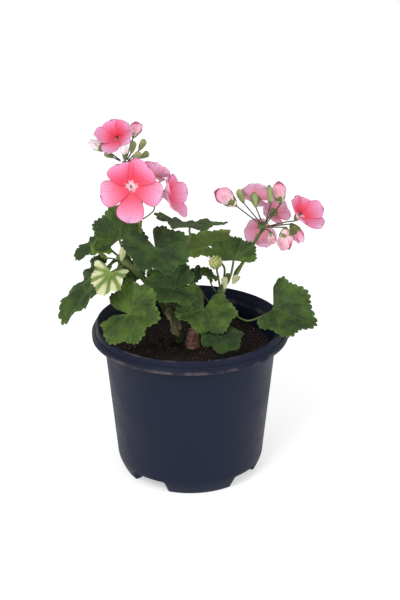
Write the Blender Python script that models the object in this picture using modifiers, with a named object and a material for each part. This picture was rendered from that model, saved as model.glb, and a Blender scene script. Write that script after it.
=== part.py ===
"""Potted geranium: a zonal geranium with three flower heads in a round nursery pot.

Metres, +Z up. The pot stands on z = 0 with its axis on the Z axis, and the plant is seen from -Y.
Plant points are in millimetres from the centre of the soil's surface.
"""

import math

import bmesh
import bpy
from mathutils import Matrix, Vector

MM = 0.001

# ---------------------------------------------------------------- driving sizes, mm
GAP = 0.3                 # clearance between pieces that touch

POT_HEIGHT = 127.0
POT_WALL = 1.7
POT_STEPS = 48            # facets round the pot
RIM_LIP_R = 79.2          # outer radius of the rim's lower edge, the widest part of the pot
RIM_LEAN = 4.2            # how far the rim band leans in towards its top
RIM_TOP_R = RIM_LIP_R - RIM_LEAN
RIM_BAND = 9.6            # height of the rim band
RIM_SKIRT = 1.6           # thickness of the band's lower edge
RIM_OVERHANG = 9.7        # from the wall out to the rim's lower edge
WALL_TOP_R = RIM_LIP_R - RIM_OVERHANG
WALL_TAPER = 9.5          # how much narrower the wall is just above the rounded corner
WALL_LOW_R = WALL_TOP_R - WALL_TAPER
CORNER_HEIGHT = 17.0
CORNER_INSET = 5.8        # from the wall in to the feet where they stand
FOOT_R = WALL_LOW_R - CORNER_INSET
FOOT_WIDTH = 5.5
FOOT_HEIGHT = 11.0
FLOOR_THICKNESS = 1.8
NOTCH_COUNT = 4           # gaps between the feet
NOTCH_WIDTH = 31.0
NOTCH_TURN = 54.0         # degrees from -Y to the first gap, towards +X
DRAIN_COUNT = 4
DRAIN_R = 4.5
DRAIN_CIRCLE_R = 34.0

SOIL_DROP = 21.0          # from the rim's top down to the soil
SOIL_CROWN = 2.0          # rise of the soil in the middle

STUB_R = 5.2
STUB_HEIGHT = 15.0
LEFT_SHOOT_R = 2.6
RIGHT_SHOOT_R = 2.8
PEDUNCLE_R = 1.4
UMBEL_R = 2.3             # the swelling that the pedicels leave
PETIOLE_R = 0.9
PEDICEL_R = 0.5
LEAF_THICKNESS = 0.9
PETAL_THICKNESS = 0.8
PETAL_SKEW = 0.18         # how much longer the lower petal is than the middle ones
CLUSTER_R = 5.8           # the young bud cluster

SOIL_TOP = POT_HEIGHT - SOIL_DROP
PARTS = "potted_geranium"
CUTTERS = "cutters"


# ---------------------------------------------------------------- scene and materials
def clear_scene():
    for thing in list(bpy.data.objects):
        bpy.data.objects.remove(thing, do_unlink=True)


def new_collection(name):
    collection = bpy.data.collections.new(name)
    bpy.context.scene.collection.children.link(collection)
    return collection


def colour(hex_code):
    """An sRGB hex colour as linear RGBA."""
    channels = [int(hex_code[i:i + 2], 16) / 255 for i in (1, 3, 5)]
    linear = [c / 12.92 if c <= 0.04045 else ((c + 0.055) / 1.055) ** 2.4 for c in channels]
    return (*linear, 1.0)


def material(name, hex_code, roughness):
    made = bpy.data.materials.get(name)
    if made is None:
        made = bpy.data.materials.new(name)
        made.use_nodes = True
        shader = made.node_tree.nodes["Principled BSDF"]
        shader.inputs["Base Color"].default_value = colour(hex_code)
        shader.inputs["Roughness"].default_value = roughness
        shader.inputs["Metallic"].default_value = 0.0
        made.diffuse_color = colour(hex_code)
    return made


POT_PLASTIC = ("pot_plastic", "#282d40", 0.5)
SOIL_MIX = ("soil_mix", "#1c100b", 0.95)
BARK = ("bark", "#8a5a48", 0.8)
GREEN_STEM = ("green_stem", "#4d5c30", 0.6)
PAPERY_BRACT = ("papery_bract", "#b9c08f", 0.7)
LEAF_GREEN = ("leaf_green", "#3b5526", 0.6)
LEAF_YELLOW_GREEN = ("leaf_yellow_green", "#66772f", 0.6)
LEAF_VARIEGATED = ("leaf_variegated", "#8f9f5c", 0.6)
LEAF_DRIED = ("leaf_dried", "#6d6a4a", 0.8)
PETAL_PINK = ("petal_pink", "#f887a4", 0.55)
PETAL_PALE = ("petal_pale", "#eec2d8", 0.55)
BUD_GREEN = ("bud_green", "#6f7f45", 0.6)


def add_object(name, mesh, collection, kind=None):
    thing = bpy.data.objects.new(name, mesh)
    collection.objects.link(thing)
    if kind is not None:
        thing.data.materials.clear()
        thing.data.materials.append(material(*kind))
    return thing


def bm_object(name, bm, collection, kind=None):
    mesh = bpy.data.meshes.new(name)
    bm.to_mesh(mesh)
    bm.free()
    return add_object(name, mesh, collection, kind)


def cut(target, cutter, operation):
    """Boolean with a cutter, which is kept and hidden from renders."""
    cutter.hide_render = True
    cutter.display_type = "WIRE"
    modifier = target.modifiers.new(operation.lower(), "BOOLEAN")
    modifier.operation = operation
    modifier.object = cutter


# ---------------------------------------------------------------- pot and soil
def wall_radius(z):
    """Outer radius of the wall at a height between the corner and the rim."""
    rim_base = POT_HEIGHT - RIM_BAND
    share = (z - CORNER_HEIGHT) / (rim_base - CORNER_HEIGHT)
    return WALL_LOW_R + (WALL_TOP_R - WALL_LOW_R) * share


def turned(name, profile, collection, kind):
    """A solid turned round Z from (radius, height) points in mm."""
    bm = bmesh.new()
    points = [bm.verts.new((r * MM, 0.0, z * MM)) for r, z in profile]
    for first, second in zip(points, points[1:]):
        bm.edges.new((first, second))
    thing = bm_object(name, bm, collection, kind)
    screw = thing.modifiers.new("turn", "SCREW")
    screw.axis = "Z"
    screw.angle = math.tau
    screw.steps = POT_STEPS
    screw.render_steps = POT_STEPS
    screw.use_merge_vertices = True
    screw.merge_threshold = 0.00001
    screw.use_smooth_shade = False
    return thing


def floor_top():
    return FOOT_HEIGHT + FLOOR_THICKNESS


def corner_radius(z):
    """Outer radius of the rounded bottom corner, a quarter ellipse from foot to wall."""
    share = min(max(z / CORNER_HEIGHT, 0.0), 1.0)
    return FOOT_R + (WALL_LOW_R - FOOT_R) * math.sin(share * math.pi / 2)


def make_pot(parts, cutters):
    rim_base = POT_HEIGHT - RIM_BAND
    inner_floor_r = corner_radius(floor_top()) - POT_WALL
    corner_mid = (floor_top() + CORNER_HEIGHT) / 2
    profile = [
        (0.0, floor_top()),
        (inner_floor_r - 2.0, floor_top()),
        (inner_floor_r, floor_top() + 1.2),
        (corner_radius(corner_mid) - POT_WALL, corner_mid),
        (WALL_LOW_R - POT_WALL, CORNER_HEIGHT),
        (wall_radius(rim_base) - POT_WALL, rim_base),
        (RIM_TOP_R - RIM_SKIRT - 1.4, POT_HEIGHT - 2.2),
        (RIM_TOP_R - RIM_SKIRT, POT_HEIGHT - 0.4),
        (RIM_TOP_R - 1.1, POT_HEIGHT),
        (RIM_TOP_R, POT_HEIGHT - 0.6),
        (RIM_LIP_R - 0.6, rim_base + 1.6),
        (RIM_LIP_R, rim_base + 0.9),
        (RIM_LIP_R - 0.3, rim_base),
        (RIM_LIP_R - RIM_SKIRT, rim_base),
        (RIM_LIP_R - RIM_SKIRT - 2.2, rim_base + 3.6),
        (wall_radius(rim_base) + 1.6, rim_base + 2.0),
        (wall_radius(rim_base), rim_base - 0.4),
        (WALL_LOW_R, CORNER_HEIGHT),
        (corner_radius(0.66 * CORNER_HEIGHT), 0.66 * CORNER_HEIGHT),
        (corner_radius(0.36 * CORNER_HEIGHT), 0.36 * CORNER_HEIGHT),
        (corner_radius(0.15 * CORNER_HEIGHT), 0.15 * CORNER_HEIGHT),
        (FOOT_R, 0.0),
        (FOOT_R - FOOT_WIDTH, 0.0),
        (FOOT_R - FOOT_WIDTH - 1.0, FOOT_HEIGHT - 1.0),
        (FOOT_R - FOOT_WIDTH - 2.0, FOOT_HEIGHT),
        (0.0, FOOT_HEIGHT),
    ]
    pot = turned("pot", profile, parts, POT_PLASTIC)
    for index in range(NOTCH_COUNT):
        angle = math.radians(NOTCH_TURN) + index * math.tau / NOTCH_COUNT - math.pi / 2
        cut(pot, foot_notch(index, angle, cutters), "DIFFERENCE")
    for index in range(DRAIN_COUNT):
        angle = (index + 0.5) * math.tau / DRAIN_COUNT
        cut(pot, drain_hole(index, angle, cutters), "DIFFERENCE")
    return pot


def foot_notch(index, angle, cutters):
    """A wedge-sided block that clears the ring between two feet, up to just under the floor."""
    depth = WALL_LOW_R - FOOT_R + FOOT_WIDTH + 12.0
    bm = bmesh.new()
    bmesh.ops.create_cube(bm, size=1.0)
    top_share = 0.8
    for vert in bm.verts:
        share = top_share if vert.co.z > 0 else 1.0
        vert.co.x *= depth * MM
        vert.co.y *= NOTCH_WIDTH * share * MM
        vert.co.z = (FOOT_HEIGHT - 0.3 if vert.co.z > 0 else -1.0) * MM
    notch = bm_object(f"notch_{index + 1}", bm, cutters)
    radius = (FOOT_R - FOOT_WIDTH - 1.0 + depth / 2) * MM
    notch.location = (radius * math.cos(angle), radius * math.sin(angle), 0.0)
    notch.rotation_euler = (0.0, 0.0, angle)
    return notch


def drain_hole(index, angle, cutters):
    bm = bmesh.new()
    height = 3 * FLOOR_THICKNESS * MM
    bmesh.ops.create_cone(bm, cap_ends=True, segments=16, radius1=DRAIN_R * MM,
                          radius2=DRAIN_R * MM, depth=height)
    hole = bm_object(f"drain_{index + 1}", bm, cutters)
    hole.location = (DRAIN_CIRCLE_R * MM * math.cos(angle), DRAIN_CIRCLE_R * MM * math.sin(angle),
                     (FOOT_HEIGHT + FLOOR_THICKNESS / 2) * MM)
    return hole


def make_soil(parts):
    bottom = floor_top() + GAP
    inner = POT_WALL + GAP + 0.2
    floor_r = corner_radius(floor_top()) - inner
    profile = [
        (0.0, SOIL_TOP),
        (0.4 * WALL_LOW_R, SOIL_TOP - 0.2 * SOIL_CROWN),
        (0.8 * WALL_LOW_R, SOIL_TOP - 0.6 * SOIL_CROWN),
        (wall_radius(SOIL_TOP) - inner, SOIL_TOP - SOIL_CROWN),
        (WALL_LOW_R - inner, CORNER_HEIGHT),
        (floor_r - 2.4, bottom + 1.0),
        (floor_r - 4.0, bottom),
        (0.0, bottom),
    ]
    return turned("soil", profile, parts, SOIL_MIX)


# ---------------------------------------------------------------- curves for stems and stalks
def vec(point):
    return Vector(point)


def smooth_path(points, per_span):
    """Catmull-Rom points through hand-chosen ones."""
    knots = [vec(p) for p in points]
    if len(knots) == 2:
        knots.insert(1, (knots[0] + knots[1]) / 2)
    padded = [2 * knots[0] - knots[1], *knots, 2 * knots[-1] - knots[-2]]
    path = []
    for a, b, c, d in zip(padded, padded[1:], padded[2:], padded[3:]):
        for step in range(per_span):
            t = step / per_span
            path.append(0.5 * (2 * b + (c - a) * t + (2 * a - 5 * b + 4 * c - d) * t ** 2
                               + (3 * b - a - 3 * c + d) * t ** 3))
    path.append(knots[-1])
    return path


def tube_mesh(name, path, radii, sides):
    """A closed tube round a path in mm; radii is one radius, or one for each point."""
    curve = bpy.data.curves.new(name, "CURVE")
    curve.dimensions = "3D"
    curve.bevel_depth = MM
    curve.bevel_resolution = (sides - 4) // 2
    curve.use_fill_caps = True
    spline = curve.splines.new("POLY")
    spline.points.add(len(path) - 1)
    for index, place in enumerate(path):
        spline.points[index].co = (*(place * MM), 1.0)
        spline.points[index].radius = radii[index] if isinstance(radii, list) else radii
    holder = bpy.data.objects.new(name, curve)
    bpy.context.scene.collection.objects.link(holder)
    graph = bpy.context.evaluated_depsgraph_get()
    mesh = bpy.data.meshes.new_from_object(holder.evaluated_get(graph))
    bpy.data.objects.remove(holder, do_unlink=True)
    bpy.data.curves.remove(curve)
    bm = bmesh.new()
    bm.from_mesh(mesh)
    bmesh.ops.remove_doubles(bm, verts=bm.verts, dist=0.00001)
    bmesh.ops.recalc_face_normals(bm, faces=bm.faces)
    bm.to_mesh(mesh)
    bm.free()
    mesh.name = name
    return mesh


def on_soil(thing):
    """Plant parts are drawn from the soil's surface."""
    thing.location = (0.0, 0.0, SOIL_TOP * MM)
    return thing


def along(path, share):
    """The point at a share of a path's length, and the direction there."""
    lengths = [(b - a).length for a, b in zip(path, path[1:])]
    left = share * sum(lengths)
    for start, end, length in zip(path, path[1:], lengths):
        if left <= length:
            return start.lerp(end, left / length), (end - start).normalized()
        left -= length
    return path[-1], (path[-1] - path[-2]).normalized()


def beside(stem, share, towards, own_radius):
    """Where a stalk starts: clear of the stem's skin, on the side that faces a point."""
    path, radius = STEMS[stem]
    point, direction = along(path, share)
    out = vec(towards) - point
    out -= direction * out.dot(direction)
    out.normalize()
    return point + out * (radius + GAP + 0.6 * own_radius)


STUB_PATH = [vec((2, -4, GAP)), vec((2, -4, 0.5 * STUB_HEIGHT)), vec((3, -4, STUB_HEIGHT))]
LEFT_SHOOT = smooth_path([(-9, 4, GAP), (-9, 4, 6), (-15, 4, 20), (-26, 1, 42), (-36, -2, 58),
                          (-46, -5, 70), (-56, -8, 80)], 3)
RIGHT_SHOOT = smooth_path([(13, 4, GAP), (13, 4, 6), (17, 5, 18), (23, 5, 38), (27, 4, 50), (31, 3, 60)], 3)
LEFT_PEDUNCLE_A = smooth_path([(-52, 1, 84), (-47, 13, 99), (-45, 16, 115), (-47, 6, 137),
                               (-49, -6, 155)], 3)
LEFT_PEDUNCLE_B = smooth_path([(-30, 0, 57), (-32, 1, 72), (-35, -3, 86), (-38, -12, 95),
                               (-38, -17, 105), (-38, -20, 113)], 3)
RIGHT_PEDUNCLE = smooth_path([(35, 8, 56), (44, 14, 69), (52, 15, 84), (58, 6, 99)], 3)

STEMS = {
    "stub": (STUB_PATH, STUB_R),
    "left": (LEFT_SHOOT, LEFT_SHOOT_R),
    "right": (RIGHT_SHOOT, RIGHT_SHOOT_R),
}
UMBELS = {
    "a": LEFT_PEDUNCLE_A[-1],
    "b": LEFT_PEDUNCLE_B[-1],
    "c": RIGHT_PEDUNCLE[-1],
}


def make_stems(parts):
    stub_radii = [STUB_R * 1.15, STUB_R, STUB_R * 0.8]
    on_soil(add_object("woody_stub", tube_mesh("woody_stub", STUB_PATH, stub_radii, 8), parts, BARK))
    for name, path, radius in (("left_shoot", LEFT_SHOOT, LEFT_SHOOT_R),
                               ("right_shoot", RIGHT_SHOOT, RIGHT_SHOOT_R)):
        last = len(path) - 1
        radii = [radius * (1.1 - 0.25 * i / last) for i in range(last + 1)]
        on_soil(add_object(name, tube_mesh(name, path, radii, 8), parts, GREEN_STEM))
    for name, path in (("peduncle_a", LEFT_PEDUNCLE_A), ("peduncle_b", LEFT_PEDUNCLE_B),
                       ("peduncle_c", RIGHT_PEDUNCLE)):
        radii = [PEDUNCLE_R] * len(path)
        radii[-1] = UMBEL_R
        end = path[-1] + (path[-1] - path[-2]).normalized() * UMBEL_R
        mesh = tube_mesh(name, [*path, end], [*radii, 0.55 * UMBEL_R], 8)
        on_soil(add_object(name, mesh, parts, GREEN_STEM))


# ---------------------------------------------------------------- leaves
def frame_matrix(place, heading, slope, roll):
    """X along the midrib, Y to its left, Z out of the upper face; degrees."""
    turn = (Matrix.Rotation(math.radians(heading), 4, "Z")
            @ Matrix.Rotation(math.radians(-slope), 4, "Y")
            @ Matrix.Rotation(math.radians(roll), 4, "X"))
    return Matrix.Translation(vec(place)) @ turn


def leaf_outline(angle, reach, width, opening):
    """Distance from hub to margin at an angle from the midrib: seven shallow lobes, round corners."""
    base = reach * (1 - (1 - width) * math.sin(angle) ** 2)
    if abs(angle) > math.pi / 2:
        base = reach * (width - 0.12 * width * math.cos(angle) ** 2)
    lobes = 1 - 0.06 * (1 - math.cos(7 * angle))
    corner = max(0.0, (abs(angle) - opening + 0.4) / 0.4)
    return base * lobes * (1 - 0.3 * corner ** 2)


def leaf_blade(reach, width, opening, bend):
    """An open sheet: a grid whose lower edge is gathered into the hub."""
    spokes = 20
    bm = bmesh.new()
    bmesh.ops.create_grid(bm, x_segments=spokes, y_segments=2, size=0.5)
    left_fold, right_fold, cup, ruffle = bend
    for vert in bm.verts:
        angle = 2 * opening * vert.co.x
        share = vert.co.y + 0.5
        share = 0.56 if 0.25 < share < 0.75 else share
        radius = share * leaf_outline(angle, reach, width, opening)
        across = radius * math.sin(angle)
        fold = math.radians(left_fold if across > 0 else right_fold)
        wave = ruffle * share ** 2 * math.cos(3.5 * angle + 1.0)
        vert.co = Vector((radius * math.cos(angle), across * math.cos(fold),
                          abs(across) * math.sin(fold) + cup * reach * share ** 2 + wave)) * MM
    bmesh.ops.remove_doubles(bm, verts=bm.verts, dist=0.00001)
    bmesh.ops.recalc_face_normals(bm, faces=bm.faces)
    if sum(face.normal.z for face in bm.faces) < 0:
        bmesh.ops.reverse_faces(bm, faces=bm.faces)
    return bm


def thicken(thing, thickness):
    solid = thing.modifiers.new("thickness", "SOLIDIFY")
    solid.thickness = thickness * MM
    solid.offset = 0.0
    solid.use_even_offset = False


def join_stalk(blade, name, path, radii, sides, cutters):
    """Fuses a stalk, drawn from the soil's surface, to a sheet that has its own place."""
    stalk = add_object(name, tube_mesh(name, path, radii, sides), cutters)
    on_soil(stalk)
    cut(blade, stalk, "UNION")


def make_leaf(spec, parts, cutters):
    """One blade with its petiole. The stalk's first points are hand-chosen after its root."""
    name = spec["name"]
    place = vec(spec["hub"])
    frame = frame_matrix(place, spec["heading"], spec["slope"], spec["roll"])
    opening = math.radians(spec.get("opening", 158))
    bend = spec.get("bend", (8, 8, 0.0, 1.5))
    bm = leaf_blade(spec["reach"], spec.get("width", 0.95), opening, bend)
    blade = bm_object(name, bm, parts, spec.get("kind", LEAF_GREEN))
    blade.matrix_world = (Matrix.Translation((0, 0, SOIL_TOP * MM))
                          @ Matrix.Translation(place * MM) @ frame.to_3x3().to_4x4())
    thicken(blade, LEAF_THICKNESS)
    under = frame.to_3x3() @ Vector((0, 0, -1))
    approach = place + under * 4.0
    route = [vec(p) for p in spec.get("route", [])]
    first = route[0] if route else approach
    root = beside(*spec["root"], first, PETIOLE_R)
    path = smooth_path([root, *route, approach, place], 2)
    join_stalk(blade, name + "_petiole", path, spec.get("petiole", PETIOLE_R), 6, cutters)
    return blade


LEAVES = [
    dict(name="leaf_upper_left", hub=(-54, -4, 93), heading=112, slope=57, roll=-4, reach=27,
         width=0.8, opening=120, bend=(-8, 6, 0.0, 1.5), root=("left", 0.93)),
    dict(name="leaf_far_left", hub=(-70, 17, 84), heading=-147, slope=-28, roll=10, reach=26,
         width=0.55, root=("left", 0.97)),
    dict(name="leaf_hanging_left", hub=(3 - RIM_TOP_R, 6, SOIL_DROP + 38), heading=-142,
         slope=-43, roll=20, reach=48, width=0.5, root=("left", 0.9)),
    dict(name="leaf_variegated", hub=(-60, -24, 73), heading=-125, slope=-45, roll=0, reach=20,
         width=0.85, opening=120, kind=LEAF_VARIEGATED, root=("left", 0.96), petiole=0.7),
    dict(name="leaf_young_bright", hub=(-68, -10, 84), heading=170, slope=25, roll=-7, reach=10,
         kind=LEAF_YELLOW_GREEN, root=("left", 1.0), petiole=0.6),
    dict(name="leaf_centre_left", hub=(-26, -29, 95), heading=-62, slope=-32, roll=0, reach=26,
         width=1.05, opening=165, bend=(6, 6, 0.0, 1.5), route=[(-33, -11, 66), (-30, -15, 78)],
         root=("left", 0.62)),
    dict(name="leaf_top", hub=(0, 8, 98), heading=90, slope=-13, roll=5, reach=27, width=1.1,
         bend=(15, 12, 0.0, 1.5), route=[(-12, 7, 60), (-6, 6, 76), (0, 6, 90)],
         root=("left", 0.35)),
    dict(name="leaf_yellow_green", hub=(14, 24, 76), heading=141, slope=-5, roll=-12, reach=25,
         kind=LEAF_YELLOW_GREEN, route=[(27, 15, 62)], root=("right", 0.85)),
    dict(name="leaf_right_upper", hub=(34, -2, 74), heading=84, slope=45, roll=0, reach=20,
         width=1.08, opening=102, bend=(14, 14, 0.0, 1.5), route=[(32, -1, 60)],
         root=("right", 0.92)),
    dict(name="leaf_centre", hub=(-12, -14, 55), heading=-165, slope=12, roll=-52, reach=25,
         bend=(40, 4, 0.0, 1.5), root=("left", 0.3)),
    dict(name="leaf_front_left", hub=(28 - RIM_TOP_R, -31, SOIL_DROP + 20), heading=-33,
         slope=6, roll=56, reach=29, opening=170, bend=(8, 14, 0.0, 1.5), root=("left", 0.45)),
    dict(name="leaf_front_centre", hub=(11, -16, 38), heading=-106, slope=-32, roll=-24, reach=22,
         width=1.2, opening=165, root=("right", 0.3)),
    dict(name="leaf_front_low", hub=(24, -30, 21), heading=-92, slope=-20, roll=-8, reach=19,
         root=("right", 0.12)),
    dict(name="leaf_over_rim", hub=(RIM_TOP_R - 9, -6, SOIL_DROP + 13), heading=-16,
         slope=-16, roll=45, reach=36, width=0.78, opening=112, bend=(4, 32, 0.0, 1.5),
         route=[(37, -4, 27), (RIM_TOP_R - 27, -6, SOIL_DROP + 3)], root=("right", 0.55)),
    dict(name="leaf_small_centre", hub=(17, 6, 56), heading=130, slope=17, roll=10, reach=13,
         width=0.5, root=("right", 0.7), petiole=0.6),
    dict(name="leaf_behind_left", hub=(-46, 10, 68), heading=-100, slope=-65, roll=0, reach=18,
         width=0.7, root=("left", 0.7), petiole=0.7),
    dict(name="leaf_sliver", hub=(-44, 16, 85), heading=118, slope=20, roll=4, reach=12,
         root=("left", 0.82), petiole=0.6),
    dict(name="leaf_behind_centre", hub=(0, 16, 50), heading=59, slope=29, roll=-18, reach=15,
         root=("right", 0.5), petiole=0.7),
    dict(name="leaf_dried", hub=(-14, -12, 37), heading=-82, slope=-45, roll=-51, reach=23,
         width=0.4, kind=LEAF_DRIED, root=("left", 0.2), petiole=0.7),
]


# ---------------------------------------------------------------- flowers
def petal_outline(angle, reach):
    """Five broad petals with notches between them, the lower one the longest."""
    wave = abs(math.cos(2.5 * angle))
    return reach * (0.5 + 0.5 * wave ** 0.45) * (1 + PETAL_SKEW * math.cos(angle))


def corolla(reach, cone):
    """An open sheet of five joined petals, raised towards +Z by the cone angle."""
    spokes = 20
    bm = bmesh.new()
    bmesh.ops.create_grid(bm, x_segments=spokes, y_segments=2, size=0.5)
    lift = math.radians(cone)
    for vert in bm.verts:
        angle = math.tau * vert.co.x
        share = vert.co.y + 0.5
        share = 0.5 if 0.25 < share < 0.75 else share
        radius = share * petal_outline(angle, reach)
        flare = radius * math.cos(lift * (1 - 0.25 * share))
        vert.co = Vector((flare * math.cos(angle), flare * math.sin(angle),
                          radius * math.sin(lift) * (1 - 0.15 * share))) * MM
    bmesh.ops.remove_doubles(bm, verts=bm.verts, dist=0.00001)
    bmesh.ops.recalc_face_normals(bm, faces=bm.faces)
    if sum(face.normal.z for face in bm.faces) < 0:
        bmesh.ops.reverse_faces(bm, faces=bm.faces)
    return bm


def pedicel_root(umbel, towards):
    out = (vec(towards) - UMBELS[umbel]).normalized()
    return UMBELS[umbel] + out * (UMBEL_R + GAP + 0.6)


def make_floret(spec, parts, cutters):
    """An open or half-open flower: the joined petals, the calyx and the pedicel."""
    name = spec["name"]
    place = vec(spec["centre"])
    axis_turn = (Matrix.Rotation(math.radians(spec["azimuth"]), 4, "Z")
                 @ Matrix.Rotation(math.radians(90 - spec["elevation"]), 4, "Y")
                 @ Matrix.Rotation(math.radians(spec.get("spin", 0)), 4, "Z"))
    flower = bm_object(name, corolla(spec["reach"], spec["cone"]), parts,
                       spec.get("kind", PETAL_PINK))
    flower.matrix_world = Matrix.Translation((place + vec((0, 0, SOIL_TOP))) * MM) @ axis_turn
    thicken(flower, PETAL_THICKNESS)
    back = axis_turn.to_3x3() @ Vector((0, 0, -1))
    neck = place + back * 7.0
    route = [vec(p) for p in spec.get("route", [])]
    first = route[0] if route else neck
    path = [*smooth_path([pedicel_root(spec["umbel"], first), *route, neck], 2),
            place + back * 5.5, place + back * 2.0, place]
    radii = [PEDICEL_R] * (len(path) - 3) + [1.3, 1.5, 1.0]
    join_stalk(flower, name + "_calyx", path, radii, 6, cutters)
    return flower


def make_bud(spec, parts):
    """A bud is one tube: pedicel, calyx and closed petals, by its radius along the way."""
    base = vec(spec["base"])
    tip = vec(spec["tip"])
    thick = spec["thick"]
    way = tip - base
    route = [vec(p) for p in spec.get("route", [])]
    first = route[0] if route else base
    stalk = smooth_path([pedicel_root(spec["umbel"], first), *route, base], 2)
    swelling = [(0.12, 0.62), (0.35, 0.95), (0.62, 1.0), (0.86, 0.7), (1.0, 0.25)]
    path = [*stalk, *(base + way * share for share, _ in swelling)]
    radii = [PEDICEL_R] * len(stalk) + [thick * factor for _, factor in swelling]
    mesh = tube_mesh(spec["name"], path, radii, 8)
    return on_soil(add_object(spec["name"], mesh, parts, spec["kind"]))


FLORETS = [
    dict(name="floret_a_top", umbel="a", centre=(-54, -1, 172), azimuth=-110, elevation=48,
         reach=17, cone=42, spin=0),
    dict(name="floret_b_large", umbel="b", centre=(-43, -34, 146), azimuth=-90, elevation=22,
         reach=23, cone=6, spin=0, route=[(-41, -15, 128)]),
    dict(name="floret_b_back", umbel="b", centre=(-31, -10, 146), azimuth=60, elevation=40,
         reach=15, cone=30, spin=0, kind=PETAL_PALE),
    dict(name="floret_b_side", umbel="b", centre=(-21, -16, 134), azimuth=-15, elevation=12,
         reach=20, cone=40, spin=0, route=[(-27, -18, 122)]),
    dict(name="floret_c_back", umbel="c", centre=(52, 12, 120), azimuth=80, elevation=30,
         reach=15, cone=25, spin=0),
    dict(name="floret_c_lower", umbel="c", centre=(57, 25, 93), azimuth=110, elevation=-55,
         reach=15, cone=35, spin=0, kind=PETAL_PALE),
    dict(name="floret_c_pale", umbel="c", centre=(66, 20, 106), azimuth=60, elevation=0,
         reach=13, cone=35, spin=0, kind=PETAL_PALE),
    dict(name="floret_c_right", umbel="c", centre=(84, -4, 112), azimuth=-40, elevation=45,
         reach=18, cone=40, spin=0),
]

BUDS = [
    dict(name="bud_a_half_open", umbel="a", base=(-43, 9, 171), tip=(-39, 11, 182), thick=4.5,
         kind=PETAL_PINK),
    dict(name="bud_a_pale", umbel="a", base=(-63, 2, 163), tip=(-76, 2, 170), thick=4.0,
         kind=PETAL_PALE),
    dict(name="bud_a_white", umbel="a", base=(-48, -17, 164), tip=(-49, -20, 174), thick=3.2,
         kind=PETAL_PALE),
    dict(name="bud_a_1", umbel="a", base=(-44, -4, 163), tip=(-42, -5, 172), thick=2.4,
         kind=BUD_GREEN),
    dict(name="bud_a_2", umbel="a", base=(-38, 0, 164), tip=(-34, 0, 172), thick=2.4,
         kind=BUD_GREEN),
    dict(name="bud_a_3", umbel="a", base=(-58, -6, 160), tip=(-64, -7, 164), thick=2.3,
         kind=BUD_GREEN),
    dict(name="bud_a_4", umbel="a", base=(-42, -12, 161), tip=(-37, -13, 166), thick=2.3,
         kind=BUD_GREEN),
    dict(name="bud_a_5", umbel="a", base=(-37, -4, 159), tip=(-31, -4, 163), thick=2.3,
         kind=BUD_GREEN),
    dict(name="bud_c_left", umbel="c", base=(36, 2, 118), tip=(21, 0, 132), thick=6.5,
         kind=PETAL_PINK),
    dict(name="bud_c_1", umbel="c", base=(42, 12, 117), tip=(38, 14, 127), thick=2.6,
         kind=BUD_GREEN),
    dict(name="bud_c_2", umbel="c", base=(51, -3, 119), tip=(49, -5, 131), thick=2.8,
         kind=BUD_GREEN),
    dict(name="bud_c_top", umbel="c", base=(71, 10, 117), tip=(68, 10, 134), thick=5.5,
         kind=PETAL_PINK),
    dict(name="bud_c_slender", umbel="c", base=(63, 1, 121), tip=(61, 1, 135), thick=1.6,
         kind=BUD_GREEN),
    dict(name="bud_c_small", umbel="c", base=(63, 0, 97), tip=(65, -1, 88), thick=3.6,
         kind=PETAL_PINK),
    dict(name="bud_c_hanging", umbel="c", base=(74, -8, 104), tip=(74, -9, 86), thick=6.0,
         kind=PETAL_PINK),
    dict(name="bud_c_lilac", umbel="c", base=(79, 5, 102), tip=(88, 5, 87), thick=5.0,
         kind=PETAL_PALE),
]


# ---------------------------------------------------------------- bracts and the young cluster
def make_bract(name, base, tip, width, parts, kind=PAPERY_BRACT):
    """A small pointed scale, drawn as a flattened tube."""
    start = vec(base)
    way = vec(tip) - start
    factors = [(0.0, 0.5), (0.3, 1.0), (0.65, 0.85), (1.0, 0.2)]
    path = [start + way * share for share, _ in factors]
    radii = [width / 2 * factor for _, factor in factors]
    return on_soil(add_object(name, tube_mesh(name, path, radii, 6), parts, kind))


def make_cluster(parts):
    """The young bud cluster: a ball on a short stalk beside the right shoot."""
    centre = vec((20, -13, 75))
    root = beside("right", 0.8, centre, PETIOLE_R)
    ball = bmesh.new()
    bmesh.ops.create_icosphere(ball, subdivisions=2, radius=CLUSTER_R * MM)
    return centre, root, ball


def main():
    clear_scene()
    parts = new_collection(PARTS)
    cutters = new_collection(CUTTERS)
    make_pot(parts, cutters)
    make_soil(parts)
    make_stems(parts)
    for spec in LEAVES:
        make_leaf(spec, parts, cutters)
    for spec in FLORETS:
        make_floret(spec, parts, cutters)
    for spec in BUDS:
        make_bud(spec, parts)
    centre, root, ball = make_cluster(parts)
    cluster = bm_object("bud_cluster", ball, parts, BUD_GREEN)
    cluster.location = (centre + vec((0, 0, SOIL_TOP))) * MM
    below = centre + vec((0, 0, -0.7 * CLUSTER_R))
    join_stalk(cluster, "bud_cluster_stalk", smooth_path([root, below], 2), PETIOLE_R, 6, cutters)
    make_bract("stipule_left", (-53, -14, 78), (-51, -15, 90), 4.0, parts)
    make_bract("stipule_right_1", (28, -4, 50), (27, -7, 62), 4.0, parts)
    make_bract("stipule_right_2", (34, 0, 53), (38, -2, 61), 5.0, parts)


main()
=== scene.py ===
import math
from functools import partial

import bmesh
import bpy
import numpy as np
from mathutils import Matrix, Vector, noise


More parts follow.
